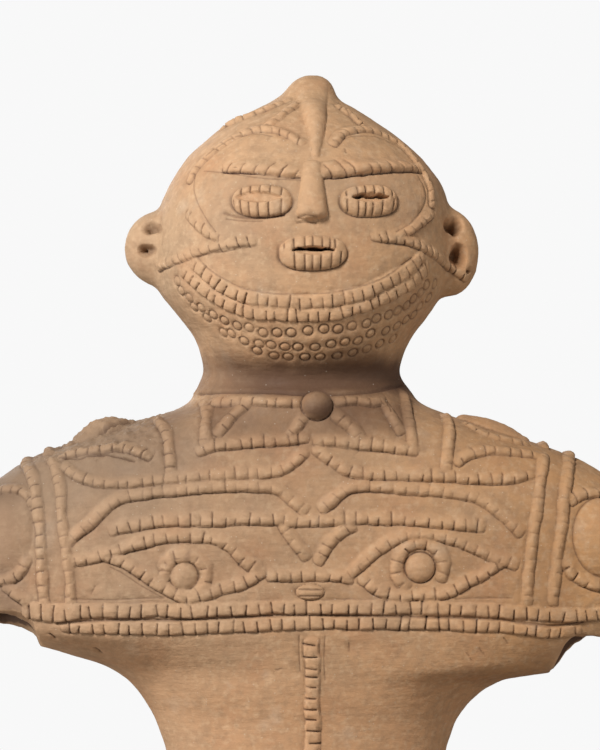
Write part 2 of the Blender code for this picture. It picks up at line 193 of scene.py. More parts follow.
def all_levels(sections):
    """The sections, with further ones between them every few rows."""
    table = np.array(sections, float)
    wanted = [table[0, 0]]
    for upper, lower in zip(table[:-1, 0], table[1:, 0]):
        steps = max(1, math.ceil((lower - upper) / LEVEL_STEP))
        wanted.extend(upper + (lower - upper) * (step + 1) / steps for step in range(steps))
    measures = [gentle_curve(table[:, 0], measure, np.array(wanted)) for measure in table.T[1:]]
    return list(zip(wanted, *measures))


print(len(all_levels(TRUNK_SECTIONS)), "levels in the head and trunk")

# %% Stack the sections into a closed body
RING_POINTS = 96
LEG_POINTS = 48


def deselect_all():
    """An operator acts on all that is selected, so every step starts with nothing selected."""
    if bpy.context.mode != "OBJECT":
        bpy.ops.object.mode_set(mode="OBJECT")
    bpy.ops.object.select_all(action="DESELECT")


def draw_out(body, section):
    """Moves the selected ring of points onto one level section, a rounded oblong."""
    row, left, right, front, back, squareness = section
    bm = bmesh.from_edit_mesh(body.data)
    turns = bm.verts.layers.float["turn"]
    for vert in (v for v in bm.verts if v.select):
        cosine, sine = math.cos(vert[turns]), math.sin(vert[turns])
        across = math.copysign(abs(cosine) ** (2 / squareness), cosine)
        along = math.copysign(abs(sine) ** (2 / squareness), sine)
        column = (left + right) / 2 + across * (right - left) / 2
        vert.co = place(column, row, along * (back if along > 0 else front))
    bmesh.update_edit_mesh(body.data)


def stack(name, sections, count):
    """A closed body: a filled circle, pulled down level by level and drawn out to each section."""
    deselect_all()
    bpy.ops.mesh.primitive_circle_add(vertices=count, radius=1, fill_type="NGON")
    body = bpy.context.object
    body.name = name
    turns = body.data.attributes.new("turn", "FLOAT", "POINT")
    for vert in body.data.vertices:
        turns.data[vert.index].value = math.atan2(vert.co.y, vert.co.x)
    bpy.ops.object.mode_set(mode="EDIT")
    draw_out(body, sections[0])
    for section in sections[1:]:
        bpy.ops.mesh.extrude_region_move()
        draw_out(body, section)
    bpy.ops.mesh.select_all(action="SELECT")
    bpy.ops.mesh.normals_make_consistent(inside=False)
    bpy.ops.object.mode_set(mode="OBJECT")
    body.location = (0, 0, 0)
    body.data.attributes.remove(body.data.attributes["turn"])
    return body


trunk = stack("trunk", all_levels(TRUNK_SECTIONS), RING_POINTS)
legs = []
for side in (-1, 1):
    leg_levels = []
    for row, inner, outer, front, back, squareness in all_levels(LEG_SECTIONS):
        edges = sorted((MIDDLE_COLUMN + side * inner, MIDDLE_COLUMN + side * outer))
        leg_levels.append((row, *edges, front, back, squareness))
    legs.append(stack("leg", leg_levels, LEG_POINTS))
print("the trunk has", len(trunk.data.polygons), "faces and each leg", len(legs[0].data.polygons))

# %% [markdown]
# ## Ears, and one skin over all of it
# Each ear is a flattened ball of clay pressed on the side of the head. Wet clay parts are stroked until
# the joins disappear. Voxel Remesh does the same: it wraps one new skin round everything that overlaps,
# and a Smooth modifier then strokes the joins.

# %% Press on the ears and fuse the body
# Column, row, half width and half height of each ear
EARS = {"right": (160, 249, 36, 38), "left": (446, 253, 33, 45)}
EAR_HALF_DEPTH = 27
EAR_DEPTH = -10
FIRST_VOXEL = 1.3 * MM
STROKES = 14
STROKE = 0.5


def flattened_ball(name, centre, size):
    """A ball of clay pressed to its own half width, half depth and half height."""
    deselect_all()
    bpy.ops.mesh.primitive_uv_sphere_add(segments=40, ring_count=24, radius=1, location=centre)
    ball = bpy.context.object
    ball.name = name
    ball.scale = size
    bpy.ops.object.transform_apply(location=True, rotation=True, scale=True)
    return ball


def finish_with(piece, kind, **settings):
    """Adds a modifier with its settings and applies it."""
    deselect_all()
    piece.select_set(True)
    bpy.context.view_layer.objects.active = piece
    modifier = piece.modifiers.new(kind.title(), kind)
    for setting, value in settings.items():
        setattr(modifier, setting, value)
    bpy.ops.object.modifier_apply(modifier=modifier.name)


def join(first, others):
    """Joins pieces into the first one."""
    deselect_all()
    for piece in (first, *others):
        piece.select_set(True)
    bpy.context.view_layer.objects.active = first
    bpy.ops.object.join()
    return first


ears = []
for name, (column, row, half_width, half_height) in EARS.items():
    size = Vector((half_width, EAR_HALF_DEPTH, half_height)) * UNIT
    ears.append(flattened_ball("ear_" + name, place(column, row, EAR_DEPTH), size))
dogu = join(trunk, legs + ears)
dogu.name = "dogu"
finish_with(dogu, "REMESH", mode="VOXEL", voxel_size=FIRST_VOXEL)
finish_with(dogu, "SMOOTH", factor=STROKE, iterations=STROKES)
print("the fused body has", len(dogu.data.polygons), "faces")

# %% [markdown]
# ## The broken arms
# Both arms are gone. What is left is a ragged edge and, inside it, the hollow of the upper arm with its
# thin wall. The hollow is stacked from sections like the body. The break is a block whose top is a torn
# surface, made from a grid. Both are cut out of the body with a Boolean.

# %% Hollow out the stumps and tear their edges
# Middle column, half width, depth in front and depth behind of each hollow
HOLLOWS = {"right": (-5, 39, 64, 56), "left": (598, 50, 74, 64)}
# Row and share of the full size
HOLLOW_SECTIONS = [(566, 0.3), (574, 0.6), (590, 0.86), (612, 1.0), (700, 1.0)]
# The torn edge below each stump, (column, row) inwards out
TORN_EDGES = {
    "right": [
        (44, 653), (42, 648), (38, 639), (35, 632), (31, 626), (19, 621), (8, 618), (0, 618), (-32, 614),
        (-60, 610),
    ],
    "left": [
        (545, 681), (549, 675), (552, 670), (557, 661), (562, 653), (568, 646), (575, 641), (583, 637),
        (591, 635), (600, 637), (634, 632), (672, 625),
    ],
}
# How many rows the break falls for each unit of depth towards the back, (column, fall)
TORN_FALLS = {"right": [(0, 0.115)], "left": [(573, 0.125), (592, 0.01)]}
TORN_DEPTH = 140
TORN_FLOOR_ROW = 700
TORN_STEPS = 90
COARSE_TEAR = 1.3 * MM
FINE_TEAR = 0.7 * MM
FINE_VOXEL = 0.7 * MM


def lumps(point, size, seed):
    """Smooth noise from about -1 to 1 at a point, with lumps of about one size."""
    return noise.noise(point / size + Vector((seed, 0, 0)))


def cut(piece, cutter):
    """Cuts one closed shape out of another."""
    finish_with(piece, "BOOLEAN", operation="DIFFERENCE", object=cutter, solver="EXACT")
    bpy.data.objects.remove(cutter)


def hollow(name):
    """The inside of one upper arm, as a stack of ovals."""
    column, width, ahead, behind = HOLLOWS[name]
    levels = [
        (row, column - width * share, column + width * share, ahead * share, behind * share, 2)
        for row, share in all_levels(HOLLOW_SECTIONS)
    ]
    return stack("hollow_" + name, levels, LEG_POINTS)


def torn_block(name, seed):
    """A block whose top is the torn surface of one break."""
    deselect_all()
    bpy.ops.mesh.primitive_grid_add(x_subdivisions=TORN_STEPS, y_subdivisions=TORN_STEPS, size=2)
    block = bpy.context.object
    block.name = "tear_" + name
    columns, rows = zip(*sorted(TORN_EDGES[name]))
    falls = list(zip(*TORN_FALLS[name]))
    for vert in block.data.vertices:
        column = columns[0] + (columns[-1] - columns[0]) * (vert.co.x + 1) / 2
        depth = vert.co.y * TORN_DEPTH
        row = float(np.interp(column, columns, rows) + depth * np.interp(column, *falls))
        spot = place(column, row, depth)
        rough = COARSE_TEAR * lumps(spot, 9 * MM, seed * 7) + FINE_TEAR * lumps(spot, 3.5 * MM, seed * 5)
        vert.co = spot + Vector((0, 0, rough))
    bpy.ops.object.mode_set(mode="EDIT")
    bpy.ops.mesh.select_all(action="SELECT")
    bpy.ops.mesh.extrude_region_move()
    bm = bmesh.from_edit_mesh(block.data)
    for vert in (v for v in bm.verts if v.select):
        vert.co.z = place(0, TORN_FLOOR_ROW).z
    bmesh.update_edit_mesh(block.data)
    bpy.ops.mesh.select_all(action="SELECT")
    bpy.ops.mesh.normals_make_consistent(inside=False)
    bpy.ops.object.mode_set(mode="OBJECT")
    return block


for seed, name in enumerate(TORN_EDGES):
    cut(dogu, hollow(name))
    cut(dogu, torn_block(name, seed))
finish_with(dogu, "REMESH", mode="VOXEL", voxel_size=FINE_VOXEL)
finish_with(dogu, "SMOOTH", factor=STROKE, iterations=2)
print("the broken body has", len(dogu.data.polygons), "faces")

# %% [markdown]
# ## Finer skin where the ornament goes
# The notches are about a millimetre wide, so the ornamented front needs small faces. They are chosen by
# where they face and how high they are, and cut in two each way with Subdivide. A ray finder then tells
# where a drawing point lands on the clay: along the viewer's line in front, and straight elsewhere.

# %% Subdivide the front and find places on the skin
FRONT_ROWS = (84, 642)
RIB_ROWS = (636, 880)
RIB_COLUMN = 312
RIB_HALF_WIDTH = 16
# A face looks forward where its direction's way to the back is below this
FORWARD = 0.35
EAR_FOOT_ROW = 330
FAR = 1.0
skin = BVHTree.FromObject(dogu, bpy.context.evaluated_depsgraph_get())


def read(collection, field):
    """One vector of all vertices or faces, as rows of an array."""
    numbers = np.empty(len(collection) * 3)
    collection.foreach_get(field, numbers)
    return numbers.reshape(-1, 3)


def from_front(column, row):
    """The place and direction of the skin where the viewer sees a drawing point."""
    return skin.ray_cast(EYE, (place(column, row) - EYE).normalized())[:2]


def from_back(column, row):
    """The same, seen square on from behind."""
    start = place(column, row) + Vector((0, FAR, 0))
    return skin.ray_cast(start, Vector((0, -1, 0)))[:2]


def from_above(column, depth):
    """The same, seen from straight above the shoulders."""
    return skin.ray_cast(place(column, EAR_FOOT_ROW, depth), Vector((0, 0, -1)))[:2]


def all_round(turn, row, column=MIDDLE_COLUMN):
    """The same, seen from a compass direction, in degrees from the front."""
    out = Vector((math.sin(math.radians(turn)), -math.cos(math.radians(turn)), 0))
    centre = place(column, row)
    return skin.ray_cast(centre + out * FAR, -out)[:2]


centres = read(dogu.data.polygons, "center")
facing = read(dogu.data.polygons, "normal")
columns, rows = MIDDLE_COLUMN + centres[:, 0] / UNIT, SOLE_ROW - centres[:, 2] / UNIT
ornamented = (facing[:, 1] < FORWARD) & (rows > FRONT_ROWS[0]) & (rows < FRONT_ROWS[1])
on_rib = (facing[:, 1] < 0) & (rows > RIB_ROWS[0]) & (rows < RIB_ROWS[1])
ornamented |= on_rib & (abs(columns - RIB_COLUMN) < RIB_HALF_WIDTH)
deselect_all()
dogu.select_set(True)
bpy.context.view_layer.objects.active = dogu
bpy.context.tool_settings.mesh_select_mode = (False, False, True)
dogu.data.polygons.foreach_set("select", ornamented)
bpy.ops.object.mode_set(mode="EDIT")
bpy.ops.mesh.subdivide(number_cuts=1)
bpy.ops.object.mode_set(mode="OBJECT")
spots = read(dogu.data.vertices, "co")
facing = read(dogu.data.vertex_normals, "vector")
print("the skin now has", len(spots), "points")

# %% [markdown]
# ## Laying on clay and cutting into it
# The relief is a height over the skin at every point. A roll of clay is a line on the skin with a round
# profile across it, and the notches are sharp grooves across the line, a few millimetres apart. Where
# rolls meet, the higher one wins. What is laid on is kept in one array, and what is pressed or cut in,
# in another, so that a groove also cuts what was laid before.

# %% Tools to find the skin near a line
LATTICE = 32
# At every point: the clay laid on, the crease beside it, the cuts, and the shares of painted shade in
# recesses and of lightening on raised tops
laid = np.zeros(len(spots))
creased = np.zeros(len(spots))
cut_in = np.zeros(len(spots))
painted_recess_shade = np.zeros(len(spots))
lighter_tops = np.zeros(len(spots))


def uneven(points, size, seed):
    """Smooth noise from about -1 to 1 for many points at once, from a lattice of random values."""
    values = np.random.default_rng(seed).uniform(-1, 1, (LATTICE,) * 3)
    scaled = points / size
    cell = np.floor(scaled).astype(int)
    share = scaled - cell
    share = share * share * (3 - 2 * share)
    total = np.zeros(len(points))
    for corner in np.ndindex(2, 2, 2):
        weight = np.prod(np.where(corner, share, 1 - share), axis=1)
        x, y, z = ((cell + corner) % LATTICE).T
        total += weight * values[x, y, z]
    return total


def layered(points, layers):
    """The sum of layers of noise: share, size of the lumps in millimetres, seed."""
    return sum(share * uneven(points, size * MM, seed) for share, size, seed in layers)


def step(values, low, high):
    """A smooth step from 0 at low to 1 at high."""
    share = np.clip((values - low) / (high - low), 0, 1)
    return share * share * (3 - 2 * share)


def through(points, gap=5):
    """A smooth line through drawing points, as close-set points on it."""
    points = np.array(points, float)
    padded = np.vstack([2 * points[0] - points[1], points, 2 * points[-1] - points[-2]])
    line = []
    for before, start, end, after in zip(padded, padded[1:], padded[2:], padded[3:]):
        steps = max(2, int(np.linalg.norm((end - start)[:2]) / gap))
        for share in np.arange(steps) / steps:
            bend = 2 * before - 5 * start + 4 * end - after
            twist = 3 * start - before - 3 * end + after
            line.append(start + (end - before) * share / 2 + (bend * share**2 + twist * share**3) / 2)
    line.append(points[-1])
    return np.array(line)


def drape(line, finder):
    """The places on the skin under a line, the directions there, and the line's further values."""
    found = [(*finder(*point[:2]), point[2:]) for point in line]
    found = [one for one in found if one[0] is not None]
    places, directions, values = zip(*found)
    return np.array(places), np.array(directions), np.array(values)


def near(places, reach):
    """The points of the skin inside a box round some places."""
    low, high = places.min(axis=0) - reach, places.max(axis=0) + reach
    return np.nonzero(((spots > low) & (spots < high)).all(axis=1))[0]


def measure(places, directions, reach):
    """For the skin near a line: which points, the distance along it, across it and past its ends,
    how far up the hill each lies from it, from -1 to 1, and the line's own distances."""
    index = near(places, reach)
    steps = np.diff(places, axis=0)
    lengths = np.linalg.norm(steps, axis=1)
    arcs = np.concatenate([[0], np.cumsum(lengths)])
    closest = np.full(len(index), reach)
    along, across, past, uphill = np.zeros((4, len(index)))
    for number, (start, forward, length) in enumerate(zip(places, steps, lengths)):
        ahead = forward / length
        middle = start + forward / 2
        picked = np.nonzero((abs(spots[index] - middle) < length / 2 + reach).all(axis=1))[0]
        offset = spots[index[picked]] - start
        travel = offset @ ahead
        offset = offset - np.outer(np.clip(travel, 0, length), ahead)
        distance = np.linalg.norm(offset, axis=1)
        same_side = facing[index[picked]] @ directions[number] > 0.2
        closer = same_side & (distance < closest[picked])
        mine, offset, travel = picked[closer], offset[closer], travel[closer]
        closest[mine] = distance[closer]
        uphill[mine] = offset[:, 2] / np.maximum(distance[closer], 0.1 * MM)
        first, last = number == 0, number == len(steps) - 1
        along[mine] = arcs[number] + np.clip(travel, -reach if first else 0, length + reach * last)
        beyond = np.maximum(-travel if first else 0, travel - length if last else 0)
        beyond = np.maximum(beyond, 0) * np.ones(len(mine))
        past[mine] = beyond
        side = np.sign(offset @ np.cross(directions[number], ahead))
        across[mine] = side * np.sqrt(np.maximum((offset**2).sum(axis=1) - beyond**2, 0))
    kept = closest < reach
    return index[kept], along[kept], across[kept], past[kept], uphill[kept], arcs


def seen():
    """The drawing column and row of every point, as the viewer sees it."""
    share = (place(0, 0).y - EYE.y) / (spots[:, 1] - EYE.y)
    columns = MIDDLE_COLUMN + (EYE.x + (spots[:, 0] - EYE.x) * share) / UNIT
    rows = SOLE_ROW - (EYE.z + (spots[:, 2] - EYE.z) * share) / UNIT
    return columns, rows


IN_VIEW = 0.15
column_of, row_of = seen()
in_view = facing[:, 1] < IN_VIEW
print(int(in_view.sum()), "points face the viewer")

# %% [markdown]
# ## How a roll is laid and a line is cut
# A roll is never quite even: its width, its height and its path vary by hand, and each bit of clay
# between two notches has slipped a little. Sizes with MM are real ones, the others are drawing units.

# %% Tools for clay rolls, notches and grooves
ROLL_HALF_WIDTH = 5.6
ROLL_RISE = 1.5 * MM
CREASE_DEPTH = 0.36 * MM
NOTCH_DEPTH = 1.05 * MM
NOTCH_HALF_WIDTH = 0.42 * MM
NOTCH_PITCH = 11.6
# How the hand varies a roll: layers of (share, size of the lumps in millimetres, seed)
WIDTH_VARIES = [(0.16, 6, 11), (0.1, 2.2, 12)]
RISE_VARIES = [(0.2, 8, 13), (0.12, 2, 14)]
CREASE_VARIES = [(0.9, 12, 15)]
WANDER = 0.5 * MM
# Share of the pitch by which a notch strays, its lean, and how far the clay between two notches
# rises and slips sideways
STRAY = 0.17
LEAN_VARIES = 0.16
SEGMENT_RISE = (-0.04, 0.16)
SEGMENT_SLIP = 0.12 * MM
chance = np.random.default_rng(7)


def crease_beside(index, distance, depth):
    """The pressed line in the skin just outside what is laid on, where distance is 0."""
    outside = np.exp(-(((distance - 0.12 * MM) / (0.3 * MM)) ** 2))
    creased[index] = np.maximum(creased[index], depth * outside)


def build_up(index, top, share):
    """Keeps the higher of what is there and what is laid on, and of the share by which its top is lighter.
    """
    laid[index] = np.maximum(laid[index], top)
    lighter_tops[index] = np.maximum(lighter_tops[index], share)


def lay(line, finder=from_front, rise=ROLL_RISE, half_width=ROLL_HALF_WIDTH, pitch=NOTCH_PITCH,
        notch=NOTCH_DEPTH, lean=0.0, crease=CREASE_DEPTH, blunt=1.5, flat=0.0, stroked=1.0, fading=0.6):
    """Lays a roll of clay on the skin and notches it. A third value in the line scales its width,
    and a fourth its rise. Its upper side and its ends are stroked into the skin; a flat roll is a
    strap."""
    places, directions, values = drape(through(line), finder)
    width = values[:, 0] if values.shape[1] else np.ones(len(places))
    height = values[:, 1] if values.shape[1] > 1 else width
    reach = half_width * UNIT * max(width) * 1.5 + 1.2 * MM
    index, along, across, past, uphill, arcs = measure(places, directions, reach)
    here = spots[index]
    uphill = uphill * stroked
    half = half_width * UNIT * np.interp(along, arcs, width)
    if notch:
        across = across + WANDER * uneven(here, 11 * MM, 16)
        half *= 1 + layered(here, WIDTH_VARIES)
        rise = rise * (1 + layered(here, RISE_VARIES))
        count = max(1, int(arcs[-1] / (pitch * UNIT)))
        marks = (np.arange(count) + 0.5) * arcs[-1] / count
        marks += chance.uniform(-STRAY, STRAY, count) * pitch * UNIT
        leans = lean + chance.uniform(-LEAN_VARIES, LEAN_VARIES, count)
        segment = np.searchsorted(marks, along + across * lean)
        loose = min(notch / NOTCH_DEPTH, 1)
        rise = rise * (1 - loose * chance.uniform(*SEGMENT_RISE, count + 1)[segment])
        across = across + loose * chance.uniform(-SEGMENT_SLIP, SEGMENT_SLIP, count + 1)[segment]
    half *= 1 + 0.65 * np.maximum(uphill, 0)
    ratio = ((abs(across) / half) ** 2.4 + (past * blunt / half) ** 2.4) ** (1 / 2.4)
    crisp = np.maximum(1 - ratio ** (2.4 + 2.6 * flat), 0) ** 0.6
    soft = np.maximum(1 - ratio**1.6, 0) ** 1.5
    gentle = np.clip(0.3 * (1 - flat) + 0.75 * uphill, 0, 1)
    profile = crisp + (soft - crisp) * gentle
    from_end = np.minimum(along, arcs[-1] - along)
    fade = 1 - fading * (1 - step(from_end, -1.5 * MM, 4 * MM))
    top = rise * np.interp(along, arcs, height) * profile * fade
    if notch:
        # A notch runs past the lower edge of a round roll, but seldom reaches its upper edge
        depths = notch * chance.uniform(0.6, 1.2, count)
        low_ends = chance.uniform(0.95, 1.35, count)
        high_ends = chance.uniform(0.05 + 0.5 * flat, 0.95, count)
        shifted = abs(along[:, None] + across[:, None] * leans - marks)
        reached = np.where(uphill[:, None] < 0, low_ends, high_ends) - ratio[:, None]
        wide = NOTCH_HALF_WIDTH * (0.8 + 0.5 * ratio)
        bite = np.maximum(1 - shifted / wide[:, None], 0) ** 0.9
        bite = (bite * depths * step(reached, -0.06, 0.22)).max(axis=1)
        carved = np.maximum(top - bite, -0.18 * MM)
        # The notches get painted shade, darker the deeper they bite
        dark = bite / (0.9 * MM) * (laid[index] < top + 0.3 * MM)
        painted_recess_shade[index] = np.maximum(painted_recess_shade[index], dark)
        top = np.where(ratio < 1, carved, 0)
        cut_in[index] = np.where(ratio >= 1, np.maximum(cut_in[index], 0.35 * bite), cut_in[index])
    below = crease * (0.5 - 0.5 * uphill) * (1 + layered(here, CREASE_VARIES))
    crease_beside(index, (ratio - 1) * half, below)
    build_up(index, top, np.clip(top / rise, 0, 1))


def groove(line, half_width, depth, recess_shade, finder=from_front):
    """Cuts a line into the clay with a point, its half width and depth in millimetres, and paints shade
    into it by a share.
    """
    places, directions, _ = drape(through(line, 4), finder)
    index, _, across, past, _, _ = measure(places, directions, (half_width + 0.5) * MM)
    across = np.hypot(across, past)
    share = np.maximum(1 - across / (half_width * MM), 0) ** 0.8
    cut_in[index] = np.maximum(cut_in[index], depth * MM * share)
    painted_recess_shade[index] = np.maximum(painted_recess_shade[index], recess_shade * share)


print("notches every", round(NOTCH_PITCH * UNIT / MM, 1), "mm")

# %% [markdown]
# ## The rolls on the body
# Each roll is named for where it lies, with the points it runs through. The maker pressed some hard and
# others hardly at all, so each has its own depth of notch.

# %% Lay the rolls of the chest, shoulders, belt and collar
CHEST_ROLLS = {
    "collar_top_right": (0.8, [(207, 404), (225, 402), (246, 401), (270, 402), (297, 403)]),
    "collar_top_left": (0.45, [(337, 401), (352, 401), (372, 403), (384, 400)]),
    "collar_hem_right": (0.8, [(199, 452), (214, 446), (240, 443), (274, 441), (306, 438)]),
    "collar_hem_left": (0.8, [(316, 440), (345, 442), (371, 445), (396, 448), (415, 452)]),
    "collar_side_right": (0.4, [(203, 400), (207, 412), (205, 428), (205, 444)]),
    "collar_side_left": (0.25, [(403, 392), (407, 410), (410, 428), (412, 446)]),
    "collar_brace_right": (0.75, [(248, 402), (238, 411), (228, 421), (217, 433)]),
    "collar_brace_left": (0.2, [(384, 404), (391, 416), (400, 432)]),
    "strap_right": (0.6, [(303, 417), (296, 427), (288, 438)]),
    "strap_left": (0.5, [(335, 415), (346, 423), (355, 432), (361, 443)]),
    "chest_line_right": (0.55, [
        (64, 466), (76, 476), (92, 481), (110, 483), (150, 481), (180, 478),
        (230, 475), (272, 473), (292, 465), (305, 453),
    ]),
    "chest_line_left": (0.85, [
        (316, 450), (332, 461), (352, 472), (390, 475),
        (440, 477), (490, 479), (515, 478), (531, 475),
    ]),
    "shoulder_curve_right": (0.4, [
        (70, 542), (92, 520), (112, 503), (130, 496),
        (170, 491), (210, 488), (272, 488), (290, 499), (305, 510),
    ]),
    "shoulder_curve_left": (0.4, [
        (322, 509), (334, 499), (347, 489), (365, 486), (400, 489),
        (440, 491), (478, 498), (500, 514), (520, 533),
    ]),
    "chest_bar": (0.85, [
        (112, 530), (130, 525), (160, 522), (200, 520), (250, 520),
        (300, 521), (350, 519), (400, 520), (440, 523), (482, 526),
    ]),
    "breast_v_right": (0.6, [(282, 524), (291, 537), (299, 548), (305, 558)]),
    "breast_v_left": (0.6, [(352, 526), (338, 535), (326, 549), (318, 561)]),
    "breast_bar": (0.9, [(270, 577), (290, 576), (320, 576), (350, 579)]),
    "eye_lid_upper_right": (0.85, [
        (70, 562), (88, 559), (110, 553), (135, 545), (160, 538), (185, 536),
        (212, 539), (230, 547), (244, 560), (256, 570),
    ]),
    "eye_lid_lower_right": (0.9, [
        (104, 556), (122, 561), (137, 570), (152, 580), (166, 590), (182, 597),
        (200, 596), (220, 590), (240, 584), (262, 573),
    ]),
    "eye_lid_upper_left": (0.5, [
        (346, 578), (360, 566), (375, 552), (392, 541), (412, 535), (436, 536),
        (458, 541), (478, 549), (496, 558), (515, 565),
    ]),
    "eye_lid_lower_left": (0.95, [
        (362, 580), (376, 590), (398, 597), (425, 596), (446, 594),
        (464, 584), (482, 575), (503, 562),
    ]),
    "pupil_lid_right": (0.8, [(166, 578), (165, 570), (172, 560), (182, 556), (196, 556)]),
    "belt_upper": (1.15, [
        (24, 612, 1.2, 0.5), (40, 613, 1.3, 1), (60, 614, 1.25, 1), (90, 612, 1.05, 1), (150, 611, 1, 1),
        (200, 611, 1, 1), (300, 608, 1, 1), (420, 609, 1, 1), (490, 611, 1, 1), (540, 614, 1, 1),
        (575, 616, 1, 1), (604, 613, 1, 0.8),
    ]),
    "belt_lower": (1.15, [
        (62, 627, 0.6, 0.2), (84, 628, 1, 0.7), (150, 628, 1, 1), (200, 628, 1, 1), (240, 626, 1, 1),
        (320, 623, 1, 1), (420, 624, 1, 1), (490, 626, 1, 1), (530, 630, 1, 0.9), (562, 633, 0.9, 0.6),
        (580, 631, 0.7, 0.3),
    ]),
    "leaf_vein_right": (0.85, [(60, 458), (78, 453), (104, 450), (125, 447), (150, 455)]),
    "fin_edge_right": (0.6, [(70, 446), (88, 437), (106, 430), (128, 424)]),
    "post_right": (0.7, [(158, 419), (166, 432), (169, 452), (170, 472)]),
    "leaf_vein_left": (0.8, [(457, 462), (468, 454), (485, 450), (510, 452), (538, 455)]),
    "fin_edge_left": (0.7, [(466, 424), (484, 434), (506, 440), (526, 444)]),
    "post_left": (0.3, [(446, 416), (450, 432), (448, 450), (446, 468)]),
    "arm_roll_right": (0.8, [(0, 489), (12, 489), (24, 493), (32, 502)]),
    "arm_roll_low_right": (0.8, [(27, 560), (18, 574), (6, 580), (-14, 582)]),
    "arm_foot_right": (0.6, [(6, 586), (16, 594), (26, 603)]),
    "arm_roll_left": (0.9, [(571, 501), (580, 495), (592, 493), (612, 493)]),
    "arm_roll_low_left": (0.9, [(565, 560), (572, 573), (584, 581), (600, 586), (616, 588)]),
}
# Long rolls that run up the front, over the shoulder and down the back: notch depth, front points
POST_DEPTH = 40
POSTS = {
    "post_outer_right": (0.75, [(45, 603), (43, 575), (40, 545), (38, 515), (35, 487), (27, 466)]),
    "post_inner_right": (0.45, [
        (71, 603), (70, 580), (66, 548), (62, 517), (61, 490), (56, 470), (50, 459),
    ]),
    "post_inner_left": (0.3, [(527, 603), (529, 570), (533, 535), (539, 500), (543, 455)]),
    "post_outer_left": (0.3, [(553, 603), (557, 560), (562, 520), (566, 490), (569, 458)]),
}
BELT_PITCH = 12.6
RIB = [(312, 641), (313, 690), (313, 750), (312, 810), (311, 866)]
# The belt and the rib are flat straps
STRAPS = {"rise": 1.4 * MM, "half_width": 6.6, "flat": 0.75, "stroked": 0.4, "blunt": 3, "fading": 0}
for name, (depth, line) in CHEST_ROLLS.items():
    if name.startswith("belt"):
        lay(line, notch=depth * NOTCH_DEPTH, pitch=BELT_PITCH, **STRAPS)
    else:
        lay(line, notch=depth * NOTCH_DEPTH)
for depth, line in POSTS.values():
    lay(line, notch=depth * NOTCH_DEPTH)
    top = line[-1][0]
    over = [(top, -POST_DEPTH), (top, 0), (top, POST_DEPTH)]
    lay(over, from_above, notch=depth * NOTCH_DEPTH)
    lay([line[-1], line[0]], from_back, notch=depth * NOTCH_DEPTH)
lay(RIB, notch=1.2 * NOTCH_DEPTH, pitch=10.7, half_width=7.5, flat=0.6, blunt=3)
print("highest clay laid on the body is", round(laid.max() / MM, 2), "mm")

# %% [markdown]
# ## Pads, pupils, rings and bosses
# The pupils are balls pressed flat, with an open ring of notched clay round each. The oval bosses on the
# arms bulge out of the surface. A knob sits at the throat like a button.

# %% Press on pupils, rings, the throat knob and the arm bosses
# Column, row, half width and height; rise in millimetres; how full and how round; crease in
# millimetres; and how much lighter its top is
OVALS = {
    "pupil_right": (184, 576, 14, 14, 1.9, 2.2, 0.8, 0.5, 0.7),
    "pupil_left": (420, 567.5, 15, 15, 2.6, 2.2, 0.75, 0.6, 0.7),
    "throat_knob": (317, 405, 15.5, 15.5, 4.4, 2, 0.7, 0.7, 0),
    "bead_on_the_chest": (310, 592, 14, 8, 1.9, 4, 0.5, 0.36, 0.7),
    "arm_boss_right": (4, 532, 30, 41, 2, 2.2, 1, 0.1, 0.7),
    "arm_boss_left": (606, 537, 35, 40, 3.4, 2.2, 0.8, 0.35, 0.7),
}
# Column, row, radius, first and last angle in degrees, and depth of notch
PUPIL_RINGS = {"right": (184, 576, 22, 160, -62, 0.9), "left": (420, 567, 24, 235, -28, 0.75)}
RING_HALF_WIDTH = 6.2


def oval(column, row, half_width, half_height, rise, fullness, roundness, crease, top_lightening):
    """Presses an oval pad of clay on the skin, measured along the skin itself."""
    centre, direction = (np.array(vector) for vector in from_front(column, row))
    reach = max(half_width, half_height) * UNIT + 1.5 * MM
    index = near(centre[None, :], reach)
    index = index[facing[index] @ direction > 0.2]
    sideways = np.cross(direction, (0, 0, 1))
    sideways = -sideways / np.linalg.norm(sideways)
    upward = np.cross(direction, sideways)
    offset = spots[index] - centre
    ratio = np.hypot(offset @ sideways / (half_width * UNIT), offset @ upward / (half_height * UNIT))
    share = np.maximum(1 - ratio**fullness, 0) ** roundness
    crease_beside(index, (ratio - 1) * half_width * UNIT, crease * MM)
    build_up(index, rise * MM * share, top_lightening * share)


def ring(column, row, radius, first, last):
    """Points of an open ring, by its first and last angle in degrees."""
    turns = np.radians(np.linspace(first, last, 9))
    return [(column + radius * math.cos(turn), row - radius * math.sin(turn)) for turn in turns]


for sizes in OVALS.values():
    oval(*sizes)
for *sizes, depth in PUPIL_RINGS.values():
    lay(ring(*sizes), notch=depth * NOTCH_DEPTH, half_width=RING_HALF_WIDTH)
print("highest clay now is", round(laid.max() / MM, 2), "mm")

# %% [markdown]
# ## The head
# The crest and the nose are thick ridges, smoothed with the fingers and left plain. The brows, the arcs
# over the eyes, the cheek lines and the double band under the face are notched rolls.

